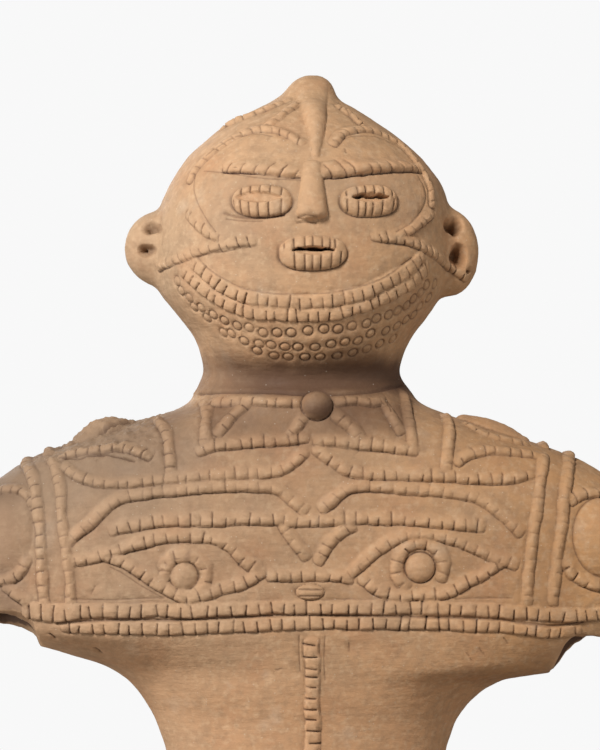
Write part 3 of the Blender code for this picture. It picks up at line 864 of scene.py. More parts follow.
# %% Shape the crest, brows, nose and face bands
HEAD_ROLLS = {
    "arc_over_right_eye": (0.75, [
        (303, 142), (292, 137), (278, 131), (258, 129), (244, 134),
        (226, 143), (210, 155), (198, 167), (190, 181),
    ]),
    "arc_over_left_eye": (0.7, [
        (333, 144), (342, 134), (356, 130), (370, 130), (385, 136),
        (402, 146), (414, 160), (424, 175), (431, 192), (432, 206),
    ]),
    "arc_under_right_eye": (0.8, [(189, 214), (197, 224), (208, 233), (222, 240)]),
    "arc_under_left_eye": (0.8, [(432, 214), (422, 222), (410, 230), (393, 238)]),
    "crown_band_right": (0.8, [(300, 101), (285, 112), (272, 122), (262, 129)]),
    "crown_edge_right": (0.7, [(288, 100), (270, 108), (252, 115), (236, 121), (222, 129)]),
    "crown_band_left": (0.8, [(338, 106), (348, 113), (357, 121), (364, 129)]),
    "cheek_right": (0.95, [
        (158, 268), (170, 262), (186, 255), (204, 250), (222, 247), (240, 243), (254, 241),
    ]),
    "cheek_left": (0.95, [
        (374, 236), (390, 238), (402, 240), (414, 243), (428, 251),
        (442, 260), (456, 270), (466, 279),
    ]),
}
CHIN_BANDS = {
    "chin_band_upper": [
        (193, 262), (204, 272), (214, 280), (226, 288), (242, 295), (257, 299), (275, 301),
        (297, 302), (320, 301), (335, 300), (354, 296), (370, 290), (386, 282), (401, 274),
        (413, 266), (423, 257),
    ],
    "chin_band_lower": [
        (184, 270), (196, 282), (207, 291), (219, 299), (233, 306), (248, 311), (269, 314),
        (288, 315), (320, 314), (335, 313), (355, 309), (372, 304), (389, 296), (404, 287),
        (416, 278), (428, 266),
    ],
}
BROW_RIGHT = [(226, 167, 0.9, 0.5), (250, 168, 1, 0.9), (275, 170, 1, 1), (304, 172, 1, 1.1)]
BROW_LEFT = [
    (320, 172, 1, 1), (350, 170, 1.1, 1.1), (380, 167, 1, 1), (402, 167, 0.8, 0.8), (420, 171, 0.6, 0.4),
]
# From the crown to its tip between the brows
CREST = [
    (311, 82, 1.3, 0), (312, 94, 1.2, 0.3), (313, 106, 1, 0.8), (315, 117, 0.85, 1), (316, 130, 0.65, 0.85),
    (316, 144, 0.45, 0.6), (316, 156, 0.26, 0.35),
]
NOSE = [(312, 165, 0.62, 0.42), (312, 180, 0.72, 0.62), (312, 196, 0.86, 0.82), (312, 213, 1, 1)]
PLAIN = {"notch": 0, "stroked": 0, "fading": 0}
for depth, line in HEAD_ROLLS.values():
    lay(line, notch=depth * NOTCH_DEPTH, rise=1.25 * MM, half_width=5, pitch=10.2, lean=0.35)
for line in CHIN_BANDS.values():
    lay(line, rise=1.35 * MM, half_width=6.6, pitch=10.6, notch=1.05 * NOTCH_DEPTH, flat=0.7,
        stroked=0.4, blunt=2.5)
lay(BROW_RIGHT, rise=1.9 * MM, half_width=6.5, pitch=12.5, lean=-0.5, crease=0.5 * MM, stroked=1.5)
lay(BROW_LEFT, rise=2.8 * MM, half_width=7, pitch=13, lean=0.4, crease=0.8 * MM, stroked=1.5)
lay(CREST, rise=3.4 * MM, half_width=13.5, crease=0.1 * MM, **PLAIN)
lay(NOSE, rise=5.4 * MM, half_width=15.5, crease=0.2 * MM, flat=0.35, blunt=2.2, **PLAIN)
print("highest clay is now", round(laid.max() / MM, 2), "mm")

# %% [markdown]
# ## Eyes, mouth and ear holes
# Each eye and the mouth is an oval pad with a slit. The rim round the slit is cut by upright notches.
# Two of the slits were pierced through the wall and are deep pits here; the eye on the figure's right
# only has a sunk floor. These marks are set out in the drawing itself, because the face looks straight
# at the viewer.

# %% Model the eyes and the mouth
# Pad: column, row, half width and height, and rise in millimetres. Slit: column, row, half width and
# height, depth of its bevel in millimetres, and half height of what is pierced. Above and below: the
# columns of the notches on each side of the slit
PADS = {
    "eye_right": {
        "pad": (262, 201, 30, 16, 2.5), "slit": (259, 198, 24, 5.4, 1.7, 0),
        "above": (242.6, 251.6, 260.8, 270.5, 281.3, 290), "below": (234, 241.5, 250, 259, 269.5, 282),
    },
    "eye_left": {
        "pad": (369, 201, 29, 16, 2.7), "slit": (368.5, 198.5, 18, 4.4, 1.9, 1.5),
        "above": (346.4, 356.5, 364, 372.4, 381.3, 390), "below": (346.4, 357, 364, 371, 380.6, 392),
    },
    "mouth": {
        "pad": (312.5, 253, 34, 17.5, 3.4), "slit": (313, 250.5, 21, 4.2, 2.2, 1.5),
        "above": (285, 294.5, 305, 312.6, 321.6, 329, 334),
        "below": (294.5, 304.6, 312.2, 320.5, 331, 340.5),
    },
}
PIERCED_DEPTH = 8 * MM
UPRIGHT_HALF_WIDTH = 0.44 * MM


def uprights(marks, middle, bend, ratio, columns, way_off):
    """The notches on one side of a slit, which bow away from its middle."""
    carve = np.zeros(len(columns))
    there = step(way_off, 0, 3) * (1 - step(ratio, 0.9, 1.02))
    for mark in marks:
        bow = 0.05 * (mark - middle) * bend
        width = np.maximum(1 - abs(columns - mark + bow) * UNIT / UPRIGHT_HALF_WIDTH, 0) ** 0.9
        carve = np.maximum(carve, width * there * chance.uniform(0.85, 1.2) * MM)
    return carve


def slit_pad(pad, slit, above, below):
    """An oval pad with upright notches round a slit, set out as the viewer sees it."""
    column, row, half_width, half_height, rise = pad
    slit_column, slit_row, slit_half_width, slit_half_height, bevel, pierced = slit
    wide, high = (column_of - column) / half_width, (row_of - row) / half_height
    ratio = (abs(wide) ** 2.5 + abs(high) ** 2.5) ** (1 / 2.5)
    index = np.nonzero(in_view & (ratio < 1.4))[0]
    ratio, high = ratio[index] * (1 + layered(spots[index], [(0.03, 4, 21)])), high[index]
    columns, rows = column_of[index], row_of[index]
    share = np.maximum(1 - ratio**3.2, 0) ** 0.6

    lens = np.maximum(1 - ((columns - slit_column) / slit_half_width) ** 2, 0)
    off_slit = abs(rows - slit_row) - slit_half_height * lens
    sunk = (1 - step(off_slit, -1.6, 1.0)) * (lens > 0.05)
    deep_row = slit_row - (0.35 + layered(spots[index], [(0.5, 3, 22)])) * slit_half_height * lens
    open_half = pierced * lens**0.6 * (1 + layered(spots[index], [(0.5, 2, 23)]))
    deep = 1 - step(abs(rows - deep_row) - open_half, -0.6, 0.7)
    deep *= (lens > 0.02) * (pierced > 0)

    carve = uprights(above, column, high, ratio, columns, slit_row - rows)
    carve = np.maximum(carve, uprights(below, column, high, ratio, columns, rows - slit_row)) * (1 - sunk)
    under = step(high, -1, 0.7)
    crease_beside(index, (ratio - 1) * half_height * UNIT, (0.12 + 0.4 * under) * MM)
    build_up(index, np.maximum(rise * MM * share - carve, 0), share * (1 - sunk))
    cut_in[index] = np.maximum(cut_in[index], np.maximum(sunk * bevel * MM, deep * PIERCED_DEPTH))
    # Painted shade in the notches round the slit and in the pierced pits
    painted_recess_shade[index] = np.maximum(painted_recess_shade[index], np.maximum(carve / (0.9 * MM), deep * 1.5))


for parts in PADS.values():
    slit_pad(**parts)

# Column, row, half width, half height and depth of the holes in the ears
EAR_HOLES = [
    (151, 228, 9.5, 7, 3.2), (148, 229, 4, 3.5, 5.5), (146, 251, 10, 7.5, 3.2), (142, 252, 4.5, 4, 5.5),
    (454, 226, 9.5, 9.5, 7.0), (459, 257, 9, 12.5, 7.0), (468, 272, 2.5, 2, 2.0),
]
for column, row, half_width, half_height, depth in EAR_HOLES:
    ratio = np.hypot((column_of - column) / half_width, (row_of - row) / half_height)
    index = np.nonzero(in_view & (ratio < 1.5))[0]
    ragged = ratio[index] * (1 + layered(spots[index], [(0.22, 2.6, 24)]))
    inside = 1 - step(ragged, 0.35, 1.1)
    cut_in[index] = np.maximum(cut_in[index], inside * depth * MM)
    # Painted shade in the ear holes
    painted_recess_shade[index] = np.maximum(painted_recess_shade[index], inside * 0.7)
print("deepest pit is", round(cut_in.max() / MM, 2), "mm")

# %% [markdown]
# ## Stamped rings and cut lines
# A hollow reed pressed into the chin left three rows of little rings, about four millimetres across.
# Lines were cut with a point: the edge of the eye fields, a few strokes on the cheek, and the guide
# lines beside the rib. Wider ones part the two belts and follow the foot of the neck.

# %% Stamp the rings and cut the lines
REED_RADIUS = 1.95 * MM
REED_WALL = 0.5 * MM
REED_DEPTH = 0.75 * MM
STAMPS = [
    (177, 281), (181, 291), (189, 298), (194, 307), (201, 308), (207, 318), (213, 315), (224, 321),
    (237, 326), (249, 328), (263, 333), (277, 333), (291, 333), (308, 331), (324, 329), (338, 329),
    (352, 326), (367, 324), (377, 319), (389, 315), (398, 311), (407, 306), (414, 299), (421, 293),
    (427, 285), (435, 284), (223, 333), (231, 334), (244, 341), (259, 344), (271, 345), (285, 347),
    (298, 347), (315, 347), (331, 344), (345, 342), (358, 341), (371, 334), (386, 331), (397, 326),
    (406, 320), (414, 315), (420, 307), (429, 298), (257, 351), (274, 356), (288, 357), (305, 357),
    (320, 357), (337, 356), (353, 353), (367, 349), (380, 344), (393, 339),
]
for column, row in STAMPS:
    centre, direction = (np.array(vector) for vector in from_front(column, row))
    index = near(centre[None, :], REED_RADIUS + MM)
    distance = np.linalg.norm(spots[index] - centre, axis=1)
    wall = np.maximum(1 - abs(distance - REED_RADIUS) / REED_WALL, 0)
    depth = REED_DEPTH * chance.uniform(0.7, 1.2)
    cut_in[index] = np.maximum(cut_in[index], wall * depth)
    # Painted shade in the stamped rings
    painted_recess_shade[index] = np.maximum(painted_recess_shade[index], wall * chance.uniform(0.7, 1.3))

# Half width and depth in millimetres, share of painted shade in the cut, and the lines
CUTS = {
    "between_the_belts": (0.7, 1.1, 0.9, [
        [(57, 623), (122, 620), (180, 620), (240, 617), (300, 615), (376, 616), (422, 617), (491, 619),
         (524, 623), (554, 626), (583, 622)],
    ]),
    "foot_of_the_neck": (1.1, 0.8, 1, [
        [(199, 394), (225, 392), (260, 392), (296, 394), (338, 394), (375, 391), (402, 385)],
    ]),
    "shoulder_right": (0.6, 0.9, 1, [[(60, 459), (80, 458), (107, 455), (134, 461)]]),
    "shoulder_left": (0.7, 1.2, 1, [[(466, 423), (478, 431), (489, 435), (503, 438), (522, 442)]]),
    "bead_on_the_chest": (0.4, 0.7, 1, [[(299, 589), (321, 590)], [(299, 596), (320, 596)]]),
    "under_the_right_eye": (0.7, 0.9, 0.8, [[(224, 213), (238, 217), (260, 218), (284, 215)]]),
    "under_the_nose": (0.5, 0.8, 0.6, [
        [(298, 218), (306, 216.5), (316, 218)], [(297, 223), (307, 222), (316, 223)],
    ]),
    "fine_lines": (0.38, 0.38, 0.7, [
        [(208, 158), (219, 149), (236, 139), (256, 134), (272, 136)],
        [(195, 175), (194, 190), (199, 206), (208, 222), (216, 232)],
        [(204, 171), (228, 173), (262, 178), (300, 180)],
        [(226, 219), (244, 221), (262, 221)], [(197, 257), (220, 250), (246, 246)],
        [(340, 140), (356, 136), (376, 137), (396, 145), (410, 157)],
        [(418, 176), (425, 190), (424, 206), (412, 222), (396, 232)],
        [(198, 258), (215, 273), (240, 287), (270, 293), (305, 294), (340, 291), (378, 280), (412, 258)],
        [(340, 103), (350, 117), (360, 127)], [(345, 149), (346, 153)],
        [(72, 599), (110, 600), (150, 598), (164, 598)], [(110, 567), (122, 573), (140, 585), (163, 598)],
        [(322, 600), (340, 599), (354, 599)], [(455, 599), (480, 598), (512, 598)],
        [(299, 636), (299, 652), (300, 671)], [(325, 636), (324, 660), (325, 680)],
        [(349, 643), (349, 651)], [(466, 652), (472, 661)], [(479, 648), (485, 656)],
        [(504, 638), (508, 644)], [(274, 671), (282, 668)], [(390, 414), (385, 400)],
        [(91, 594), (95, 586)],
    ]),
    "pits": (0.55, 0.9, 1.4, [
        [(50, 634), (53, 636)], [(54, 637), (55, 638)], [(95, 649), (98, 650)], [(99, 651), (101, 653)],
    ]),
}
for half_width, depth, recess_shade, lines in CUTS.values():
    for line in lines:
        groove(line, half_width, depth, recess_shade)
print(len(STAMPS), "rings and", sum(len(cuts[-1]) for cuts in CUTS.values()), "cut lines")

# %% [markdown]
# ## The sides that the viewer doesn't see
# The back, the hips and the ankles are finished in keeping with the front, and plainer.

# %% Lay the rolls of the back, hips and ankles
BACK_ROLLS = {
    "back_belt_upper": [(36, 612), (150, 612), (305, 611), (460, 612), (582, 613)],
    "back_belt_lower": [(58, 626), (150, 627), (305, 626), (460, 627), (558, 627)],
    "back_spine": [(308, 452), (307, 530), (306, 604)],
    "back_collar": [(196, 440), (250, 447), (306, 449), (362, 447), (414, 440)],
    "back_curve_right": [(72, 552), (115, 505), (190, 486), (298, 520)],
    "back_curve_left": [(538, 552), (495, 505), (420, 486), (314, 520)],
    "back_head_rib": [(311, 128), (308, 190), (305, 250), (303, 330)],
    "back_head_band": [(166, 232), (226, 258), (304, 266), (382, 258), (444, 232)],
}
HIP_ROWS = (872, 888)
ANKLE_ROW = 1085
LEG_COLUMN = 100
BROAD = {"rise": 1.8 * MM, "half_width": 6.8, "pitch": 13}
for line in BACK_ROLLS.values():
    lay(line, from_back, **BROAD)
for row in HIP_ROWS:
    lay([(turn, row) for turn in range(-180, 181, 20)], all_round, **BROAD)
for side in (-1, 1):
    lay([(turn, ANKLE_ROW) for turn in range(-180, 181, 30)],
        lambda turn, row, column=MIDDLE_COLUMN + side * LEG_COLUMN: all_round(turn, row, column),
        pitch=BROAD["pitch"])

# Thick lobes of clay along the tops of the shoulders: column, depth, share of width, share of rise
LOBES = {
    "right": [(74, -16, 0.7, 0.25), (84, -18, 0.9, 0.65), (95, -18, 1, 0.95),
              (107, -18, 1, 1), (119, -16, 0.8, 0.75), (130, -14, 0.5, 0.3)],
    "left": [(466, -14, 0.7, 0.4), (480, -16, 0.9, 0.55), (495, -18, 1, 0.6),
             (508, -18, 0.9, 0.5), (521, -18, 0.6, 0.25)],
}
for line in LOBES.values():
    lay(line, from_above, rise=5.6 * MM, half_width=22, crease=0.6 * MM, **PLAIN)
# A deep crevice in the right lobe, with painted shade in it: column, depth
CREVICE = [(102, -39), (107, -37), (113, -34), (119, -31), (125, -27), (131, -22)]
groove(CREVICE, 0.8, 1.6, 1, from_above)
print("the highest clay all round is", round(laid.max() / MM, 2), "mm")

# %% [markdown]
# ## The relief becomes form
# All of the heights are added along the way the skin faces, with the slight unevenness of a hand-made
# surface. The clay that has weathered gets a rougher grain.

# %% Raise the relief and roughen the clay
UNEVEN = 0.3 * MM
# Layers of (share, size of the lumps in millimetres, seed)
CLAY_GRAIN = [(0.8, 13, 1), (0.5, 5, 2), (0.2, 1.8, 3)]
ROUGH_GRAIN = [(2.3, 2.4, 4), (1.3, 1.1, 5)]
ROLL_GRAIN = [(0.45, 1.5, 6)]
MARGIN = 0.05 * MM
SOLE_HEIGHT = 1.5 * MM
# The clay has weathered rough on the shoulder on the figure's right and beside the collar there.
# A patch starts, is full, fades and ends at these rows and columns
SHOULDER_ROWS = (405, 415, 448, 475)
SHOULDER_EDGE = (150, 182)
COLLAR_PATCH_ROWS = (386, 394, 436, 456)
COLLAR_PATCH_COLUMNS = (190, 197, 210, 232)


def band(values, start, full, fading, end):
    """A smooth rise from 0 to 1 and back down to 0."""
    return step(values, start, full) * (1 - step(values, fading, end))


rough = band(row_of, *SHOULDER_ROWS) * (1 - step(column_of, *SHOULDER_EDGE))
rough += 0.7 * band(column_of, *COLLAR_PATCH_COLUMNS) * band(row_of, *COLLAR_PATCH_ROWS)
grain = layered(spots, CLAY_GRAIN) + rough * layered(spots, ROUGH_GRAIN)
grain += step(laid, 0.15 * MM, 0.8 * MM) * layered(spots, ROLL_GRAIN)
free_of_rolls = 1 - step(laid, 0.1 * MM, 0.6 * MM)
height = laid - creased * free_of_rolls - cut_in + UNEVEN * grain
shaped = spots + facing * height[:, None]
shaped = np.clip(shaped, np.array(cad_low) + MARGIN, np.array(cad_high) - MARGIN)
soles = spots[:, 2] < SOLE_HEIGHT
shaped[soles, 2] = np.maximum(spots[soles, 2], cad_low.z)
dogu.data.vertices.foreach_set("co", shaped.ravel())
print("deepest cut", round(cut_in.max() / MM, 2), "mm")

# %% [markdown]
# ## Painted shade, painted light and stains
# Painted shade darkens the neck under the chin and the collar and throat knob below it, more on the side
# away from the key light, and fills the hollows inside the stumps and the eye fields under the brows. The
# chest is darker, most high up on the figure's right, and so is the outer edge of the stump there; the
# weathered shoulder on that side is greyer. Painted shade sits in the cuts, creases and pits. The tops of
# the laid-on clay are lighter, and painted light brightens the downward faces at the breaks and the lower
# belly and hips on the figure's right. Each is a share at every point, which the material reads. A Decimate
# modifier then spends few faces on the plain clay and many on the notches.

# %% Paint shade and light on the clay, stain it and thin out the mesh
TRIANGLES = 194000
FULL_SHADE_CREASE_DEPTH = 0.45 * MM
RAGGED = [(7, 16, 31), (4, 5, 32)]
CLOUDS = [(0.1, 24, 33)]
# Rows and columns between which each painted shade, painted light or stain comes or goes, and where a
# middle is given, off that column
NECK_SHADE_TOP = (343, 368)
NECK_SHADE_FOOT = (388, 402)
NECK_SHADE_LIT_SIDE = (205, 270)
COLLAR_SHADE_TOP = (380, 398)
COLLAR_SHADE_FOOT = (425, 452)
COLLAR_SHADE_MIDDLE = 310
COLLAR_SHADE_EDGE = (96, 112)
COLLAR_SHADED_SIDE = (300, 350)
KNOB = (317, 403)
KNOB_SHADE_EDGE = (13, 19)
STUMP_EDGE = (8, 38)
STUMP_TOP = (470, 500)
CHEST_TOP = (396, 412)
CHEST_FOOT = (606, 648)
CHEST_EDGE = (560, 590)
UPPER_CHEST_FOOT = (430, 520)
UPPER_CHEST_EDGE = (330, 400)
HOLLOW_EDGE = (1.01, 1.06)
HOLLOW_LIP = 4
FACING_DOWN = (0.3, 0.6)
BREAK_MIDDLE = 300
BREAK_EDGE = (245, 255)
BREAK_ROWS = (598, 606, 668, 676)
BELLY_LIGHT_EDGE = (150, 225)
BELLY_LIGHT_ROWS = (650, 700, 780, 860)
WEATHERED_EDGE = (120, 230)
WEATHERED_TOP = (390, 410)
WEATHERED_FOOT = (470, 560)
EYES_MIDDLE = 308
EYES_EDGE = (92, 118)
EYES_ROWS = (166, 176, 205, 250)


def before(values, fading, end):
    """1 before a smooth step and 0 after it."""
    return 1 - step(values, fading, end)


ragged = layered(spots, RAGGED)
# Painted shade under the chin on the neck, less on the side towards the key light
painted_neck_shade = step(row_of + ragged, *NECK_SHADE_TOP) * before(row_of + 0.5 * ragged, *NECK_SHADE_FOOT)
painted_neck_shade *= 0.62 + 0.38 * step(column_of, *NECK_SHADE_LIT_SIDE)
# Painted shade on the collar and the throat knob under the chin, more on the side away from the key light
painted_collar_shade = step(row_of, *COLLAR_SHADE_TOP) * before(row_of + ragged, *COLLAR_SHADE_FOOT)
painted_collar_shade *= before(abs(column_of - COLLAR_SHADE_MIDDLE), *COLLAR_SHADE_EDGE)
painted_collar_shade *= 0.3 + 0.25 * step(column_of, *COLLAR_SHADED_SIDE)
painted_collar_shade += 0.25 * before(np.hypot(column_of - KNOB[0], row_of - KNOB[1]), *KNOB_SHADE_EDGE)
stump = before(column_of + 0.5 * ragged, *STUMP_EDGE) * step(row_of, *STUMP_TOP)
chest = step(row_of + 0.5 * ragged, *CHEST_TOP) * before(row_of + ragged, *CHEST_FOOT)
chest *= (0.22 + layered(spots, CLOUDS)) * before(column_of, *CHEST_EDGE)
chest *= 1 + 0.8 * before(row_of + ragged, *UPPER_CHEST_FOOT) * before(column_of, *UPPER_CHEST_EDGE)
# Painted shade inside the hollows of the stumps
painted_hollow_shade = np.zeros(len(spots))
for column, half_width, ahead, behind in HOLLOWS.values():
    aside = (MIDDLE_COLUMN + spots[:, 0] / UNIT - column) / half_width
    deep = spots[:, 1] / UNIT - MIDDLE_DEPTH
    deep = np.where(deep < 0, deep / ahead, deep / behind)
    below = SOLE_ROW - spots[:, 2] / UNIT > HOLLOW_SECTIONS[0][0] - HOLLOW_LIP
    painted_hollow_shade = np.maximum(painted_hollow_shade, below * before(np.hypot(aside, deep), *HOLLOW_EDGE))

# Painted light on the downward faces at the breaks, against the shade they get
painted_break_light = step(-facing[:, 2], *FACING_DOWN) * step(abs(column_of - BREAK_MIDDLE), *BREAK_EDGE)
painted_break_light *= band(row_of, *BREAK_ROWS)
# Painted light on the lower belly and hips on the figure's right
painted_belly_light = before(column_of, *BELLY_LIGHT_EDGE) * band(row_of, *BELLY_LIGHT_ROWS)
weathered = before(column_of + 2 * ragged, *WEATHERED_EDGE) * step(row_of, *WEATHERED_TOP)
weathered *= before(row_of + 2 * ragged, *WEATHERED_FOOT)
# Painted shade in the eye fields under the brows, where no clay is laid on
painted_socket_shade = band(row_of, *EYES_ROWS) * before(abs(column_of - EYES_MIDDLE), *EYES_EDGE) * free_of_rolls

# Painted shade in recesses; lighter tops, with painted light at the breaks and on the lower belly; painted
# shade on the neck, collar and hollows, with a darker chest and stump edge; the weathered grey, with
# painted shade in the eye fields
SHADE_LIGHT_AND_STAINS = {
    "recess_shade": np.clip(painted_recess_shade + creased * free_of_rolls / FULL_SHADE_CREASE_DEPTH, 0, 1.6),
    "rub": np.clip(lighter_tops - painted_recess_shade, 0, 1) + 2.2 * painted_break_light + 1.7 * painted_belly_light,
    "painted_shade_and_darker_patches": np.clip(painted_neck_shade + (1 - painted_neck_shade) * painted_collar_shade + 0.4 * stump + chest + painted_hollow_shade, 0, 1),
    "weathered_grey_and_socket_shade": weathered + 0.34 * painted_socket_shade,
}
for name, share in SHADE_LIGHT_AND_STAINS.items():
    dogu.data.attributes.new(name, "FLOAT", "POINT").data.foreach_set("value", share)
dogu.data.update()
triangles = sum(len(face.vertices) - 2 for face in dogu.data.polygons)
finish_with(dogu, "DECIMATE", ratio=TRIANGLES / triangles)
bpy.ops.object.shade_smooth()
print("the finished skin has", len(dogu.data.polygons), "faces, thinned from", triangles, "triangles")

# %% [markdown]
# ## Fired clay
# Unglazed earthenware, fired in the open: warm tan, greyer towards the figure's right, more orange towards
# its left and low down. The patterns are set in real sizes on the object's own coordinates.

# %% Make the material
RIGHT_SIDE = "#B0977C"
LEFT_SIDE = "#BB8C5E"
SIDES = (-0.12, 0.10)
BELLY = "#BC8C64"
BELLY_HEIGHTS = (0.20, 0.16)
GRIT = "#E2D6C2"
GRIT_SCALE = 620
GRIT_EDGE = (0.2, 0.08)
GRIT_MISSING = 0.88
ROUGHNESS = (0.68, 0.86)
SHEEN = 0.32
WIPED_STRETCH = (0.35, 0.35, 1.6)
# Colour, most of it, and its noise: scale, low, high, detail
MOTTLING = [
    ("#C89A72", 0.5, (16, 0.42, 0.68, 3)), ("#957D64", 0.5, (28, 0.52, 0.74, 4)),
    ("#B07A54", 0.35, (60, 0.5, 0.75, 4)), ("#C2B5A2", 0.3, (75, 0.62, 0.78, 5)),
    ("#8E7055", 0.3, (130, 0.5, 0.72, 5)), ("#8F7358", 0.38, (330, 0.45, 0.72, 5)),
    ("#D6B692", 0.36, (430, 0.5, 0.75, 5)),
]
# Painted shade, painted light or stain, its colour and most of it, in the order in which they are laid on
SHADE_LIGHT_AND_STAIN_COLOURS = {
    "weathered_grey_and_socket_shade": ("#8B7660", 0.75), "painted_shade_and_darker_patches": ("#523828", 0.93),
    "rub": ("#CFA57E", 0.22), "recess_shade": ("#4C3325", 0.72),
}


def linear(colour):
    """An sRGB hex colour as linear values."""
    parts = [int(colour[first:first + 2], 16) / 255 for first in (1, 3, 5)]
    return [part / 12.92 if part <= 0.04045 else ((part + 0.055) / 1.055) ** 2.4 for part in parts] + [1]


def add(tree, kind, links=(), **settings):
    """Adds a node. Settings name its properties or, with spaces as underscores, its input sockets;
    links are pairs of an input socket and the output that feeds it."""
    node = tree.nodes.new("ShaderNode" + kind)
    for setting, value in settings.items():
        if hasattr(node, setting):
            setattr(node, setting, value)
        else:
            node.inputs[setting.replace("_", " ")].default_value = value
    for socket, source in links:
        tree.links.new(node.inputs[socket], source)
    return node


def fired_clay():
    """Unglazed, wiped and open-fired earthenware with grit in it."""
    material = bpy.data.materials.new("unglazed_open_fired_clay")
    material.use_nodes = True
    tree = material.node_tree
    shader = tree.nodes["Principled BSDF"]
    where = add(tree, "TexCoord").outputs["Object"]

    def ranged(value, low, high, to_low=0, to_high=1):
        """A value moved from one range to another."""
        limits = {"From_Min": low, "From_Max": high, "To_Min": to_low, "To_Max": to_high}
        return add(tree, "MapRange", [("Value", value)], **limits).outputs["Result"]

    def spread(scale, low, high, detail=3, stretch=(1, 1, 1)):
        """Noise of one scale, as a value from 0 to 1 between two limits."""
        mapped = add(tree, "Mapping", [("Vector", where)], Scale=stretch).outputs["Vector"]
        cloud = add(tree, "TexNoise", [("Vector", mapped)], Scale=scale, Detail=detail)
        return ranged(cloud.outputs["Fac"], low, high)

    def mix(below, above, share, most=1.0):
        """One colour over another, by a share."""
        scaled = add(tree, "Math", [(0, share)], operation="MULTIPLY")
        scaled.inputs[1].default_value = most
        node = add(tree, "Mix", [("Factor", scaled.outputs[0])], data_type="RGBA")
        for socket, colour in ((6, below), (7, above)):
            if isinstance(colour, str):
                node.inputs[socket].default_value = linear(colour)
            else:
                tree.links.new(node.inputs[socket], colour)
        return node.outputs[2]

    def bumps(height, depth, strength, *under):
        """Bumps of one depth, over others where there are any."""
        links = [("Height", height), *(("Normal", normal) for normal in under)]
        return add(tree, "Bump", links, Strength=strength, Distance=depth).outputs["Normal"]

    side = add(tree, "SeparateXYZ", [("Vector", where)]).outputs
    base = mix(RIGHT_SIDE, LEFT_SIDE, ranged(side["X"], *SIDES))
    base = mix(base, BELLY, ranged(side["Z"], *BELLY_HEIGHTS), most=0.6)
    for colour, most, noise_settings in MOTTLING:
        base = mix(base, colour, spread(*noise_settings), most=most)
    # Painted shade, painted light and stains, by the shares on the skin
    for name, (colour, most) in SHADE_LIGHT_AND_STAIN_COLOURS.items():
        base = mix(base, colour, add(tree, "Attribute", attribute_name=name).outputs["Fac"], most=most)

    grit = add(tree, "TexVoronoi", [("Vector", where)], Scale=GRIT_SCALE)
    near_grit = ranged(grit.outputs["Distance"], *GRIT_EDGE)
    few = add(tree, "SeparateColor", [("Color", grit.outputs["Color"])])
    chosen = add(tree, "Math", [(0, few.outputs["Red"])], operation="GREATER_THAN")
    chosen.inputs[1].default_value = GRIT_MISSING
    grains = add(tree, "Math", [(0, near_grit), (1, chosen.outputs[0])], operation="MULTIPLY").outputs[0]
    tree.links.new(shader.inputs["Base Color"], mix(base, GRIT, grains, most=0.28))

    tree.links.new(shader.inputs["Roughness"], ranged(spread(90, 0.3, 0.7), 0, 1, *ROUGHNESS))
    shader.inputs["Specular IOR Level"].default_value = SHEEN

    wiped = bumps(spread(260, 0, 1, 3, WIPED_STRETCH), 0.4 * MM, 0.9)
    pitted = bumps(spread(900, 0, 1, 4), 0.2 * MM, 0.8, wiped)
    tree.links.new(shader.inputs["Normal"], bumps(grains, 0.12 * MM, 0.5, pitted))
    return material


dogu.data.materials.clear()
dogu.data.materials.append(fired_clay())
print("the clay has", len(dogu.data.materials[0].node_tree.nodes), "nodes")

# %% [markdown]
# ## Into the frame
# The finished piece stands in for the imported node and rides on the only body.

# %% Tie the piece to the frame
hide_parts("dogu_figurine")
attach(dogu, "root")

# %% [markdown]
# ## Floor, light and camera
# A pale floor and a pale surround. The key light is a soft one from the upper left in front. A larger one
# low on the left rounds the belly, a weak one on the right fills the shadows, and one behind lights the
# back. The camera stands level with the middle of the drawing, some way off, where its eye is.

# %% Set the stage
FLOOR_RADIUS = 1.3
FLOOR_SEEN = "#E4E2DE"
FLOOR_LIT = "#8A857E"
SURROUND = {"To_Min": 0.16, "To_Max": 0.94}
CHEST_PLACE = (0, 0, 0.29)
BELLY_PLACE = (0, 0, 0.24)
SENSOR = 36


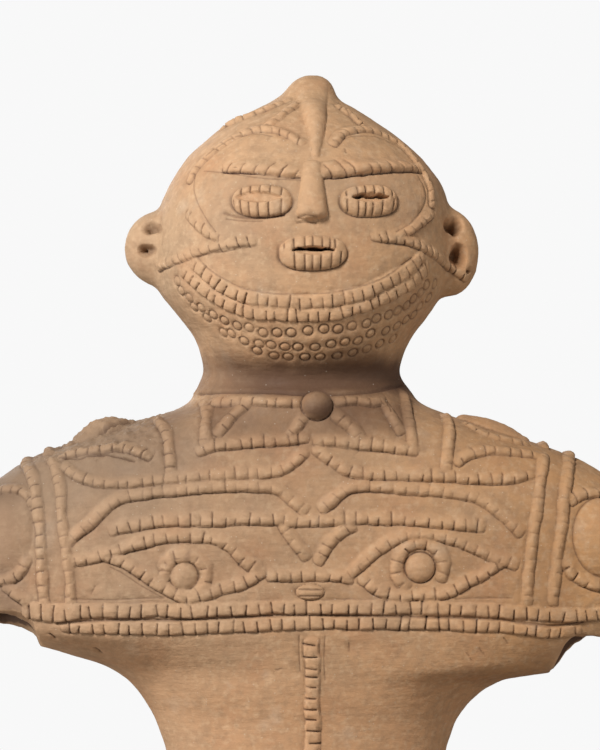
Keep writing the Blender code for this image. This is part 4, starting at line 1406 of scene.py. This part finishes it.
def softbox(name, place_at, aim, size, power):
    """A large square light, aimed at a point."""
    deselect_all()
    bpy.ops.object.light_add(type="AREA", location=place_at)
    light = bpy.context.object
    light.name = name
    light.rotation_euler = (Vector(aim) - Vector(place_at)).to_track_quat("-Z", "Y").to_euler()
    light.data.size = size
    light.data.energy = power
    return light


def matt_floor():
    """Pale, but it throws little light up under the chin, as a table far below would."""
    plaster = bpy.data.materials.new("matt_white_floor")
    plaster.use_nodes = True
    tree = plaster.node_tree
    shader = tree.nodes["Principled BSDF"]
    shader.inputs["Roughness"].default_value = 0.9
    seen_as = add(tree, "LightPath").outputs["Is Camera Ray"]
    shade = add(tree, "Mix", [("Factor", seen_as)], data_type="RGBA")
    shade.inputs[6].default_value = linear(FLOOR_LIT)
    shade.inputs[7].default_value = linear(FLOOR_SEEN)
    tree.links.new(shader.inputs["Base Color"], shade.outputs[2])
    return plaster


deselect_all()
bpy.ops.mesh.primitive_circle_add(vertices=128, radius=FLOOR_RADIUS, fill_type="NGON", location=(0, 0, 0))
floor = bpy.context.object
floor.name = "floor"
floor.data.materials.append(matt_floor())

softbox("key", (-0.7, -1.31, 1.3), CHEST_PLACE, 0.42, 33.6)
softbox("side", (-1.65, -0.4, 0.12), BELLY_PLACE, 0.9, 18)
softbox("fill", (1.7, -0.9, 0.3), CHEST_PLACE, 1.2, 11)
softbox("back", (-0.7, 1.8, 0.9), CHEST_PLACE, 1.2, 16)

world = bpy.data.worlds.new("pale_surround")
bpy.context.scene.world = world
world.use_nodes = True
surround = world.node_tree
background = surround.nodes["Background"]
background.inputs["Color"].default_value = linear("#FFFFFF")
seen_as = add(surround, "LightPath").outputs["Is Camera Ray"]
strength = add(surround, "MapRange", [("Value", seen_as)], **SURROUND)
surround.links.new(background.inputs["Strength"], strength.outputs["Result"])
bpy.context.scene.view_settings.view_transform = "Standard"

deselect_all()
bpy.ops.object.camera_add(location=EYE, rotation=(math.pi / 2, 0, 0))
camera = bpy.context.object
camera.name = "camera"
camera.data.sensor_width = SENSOR
camera.data.lens = SENSOR * VIEWING_DISTANCE / (VIEW_ROWS * UNIT)
bpy.context.scene.camera = camera
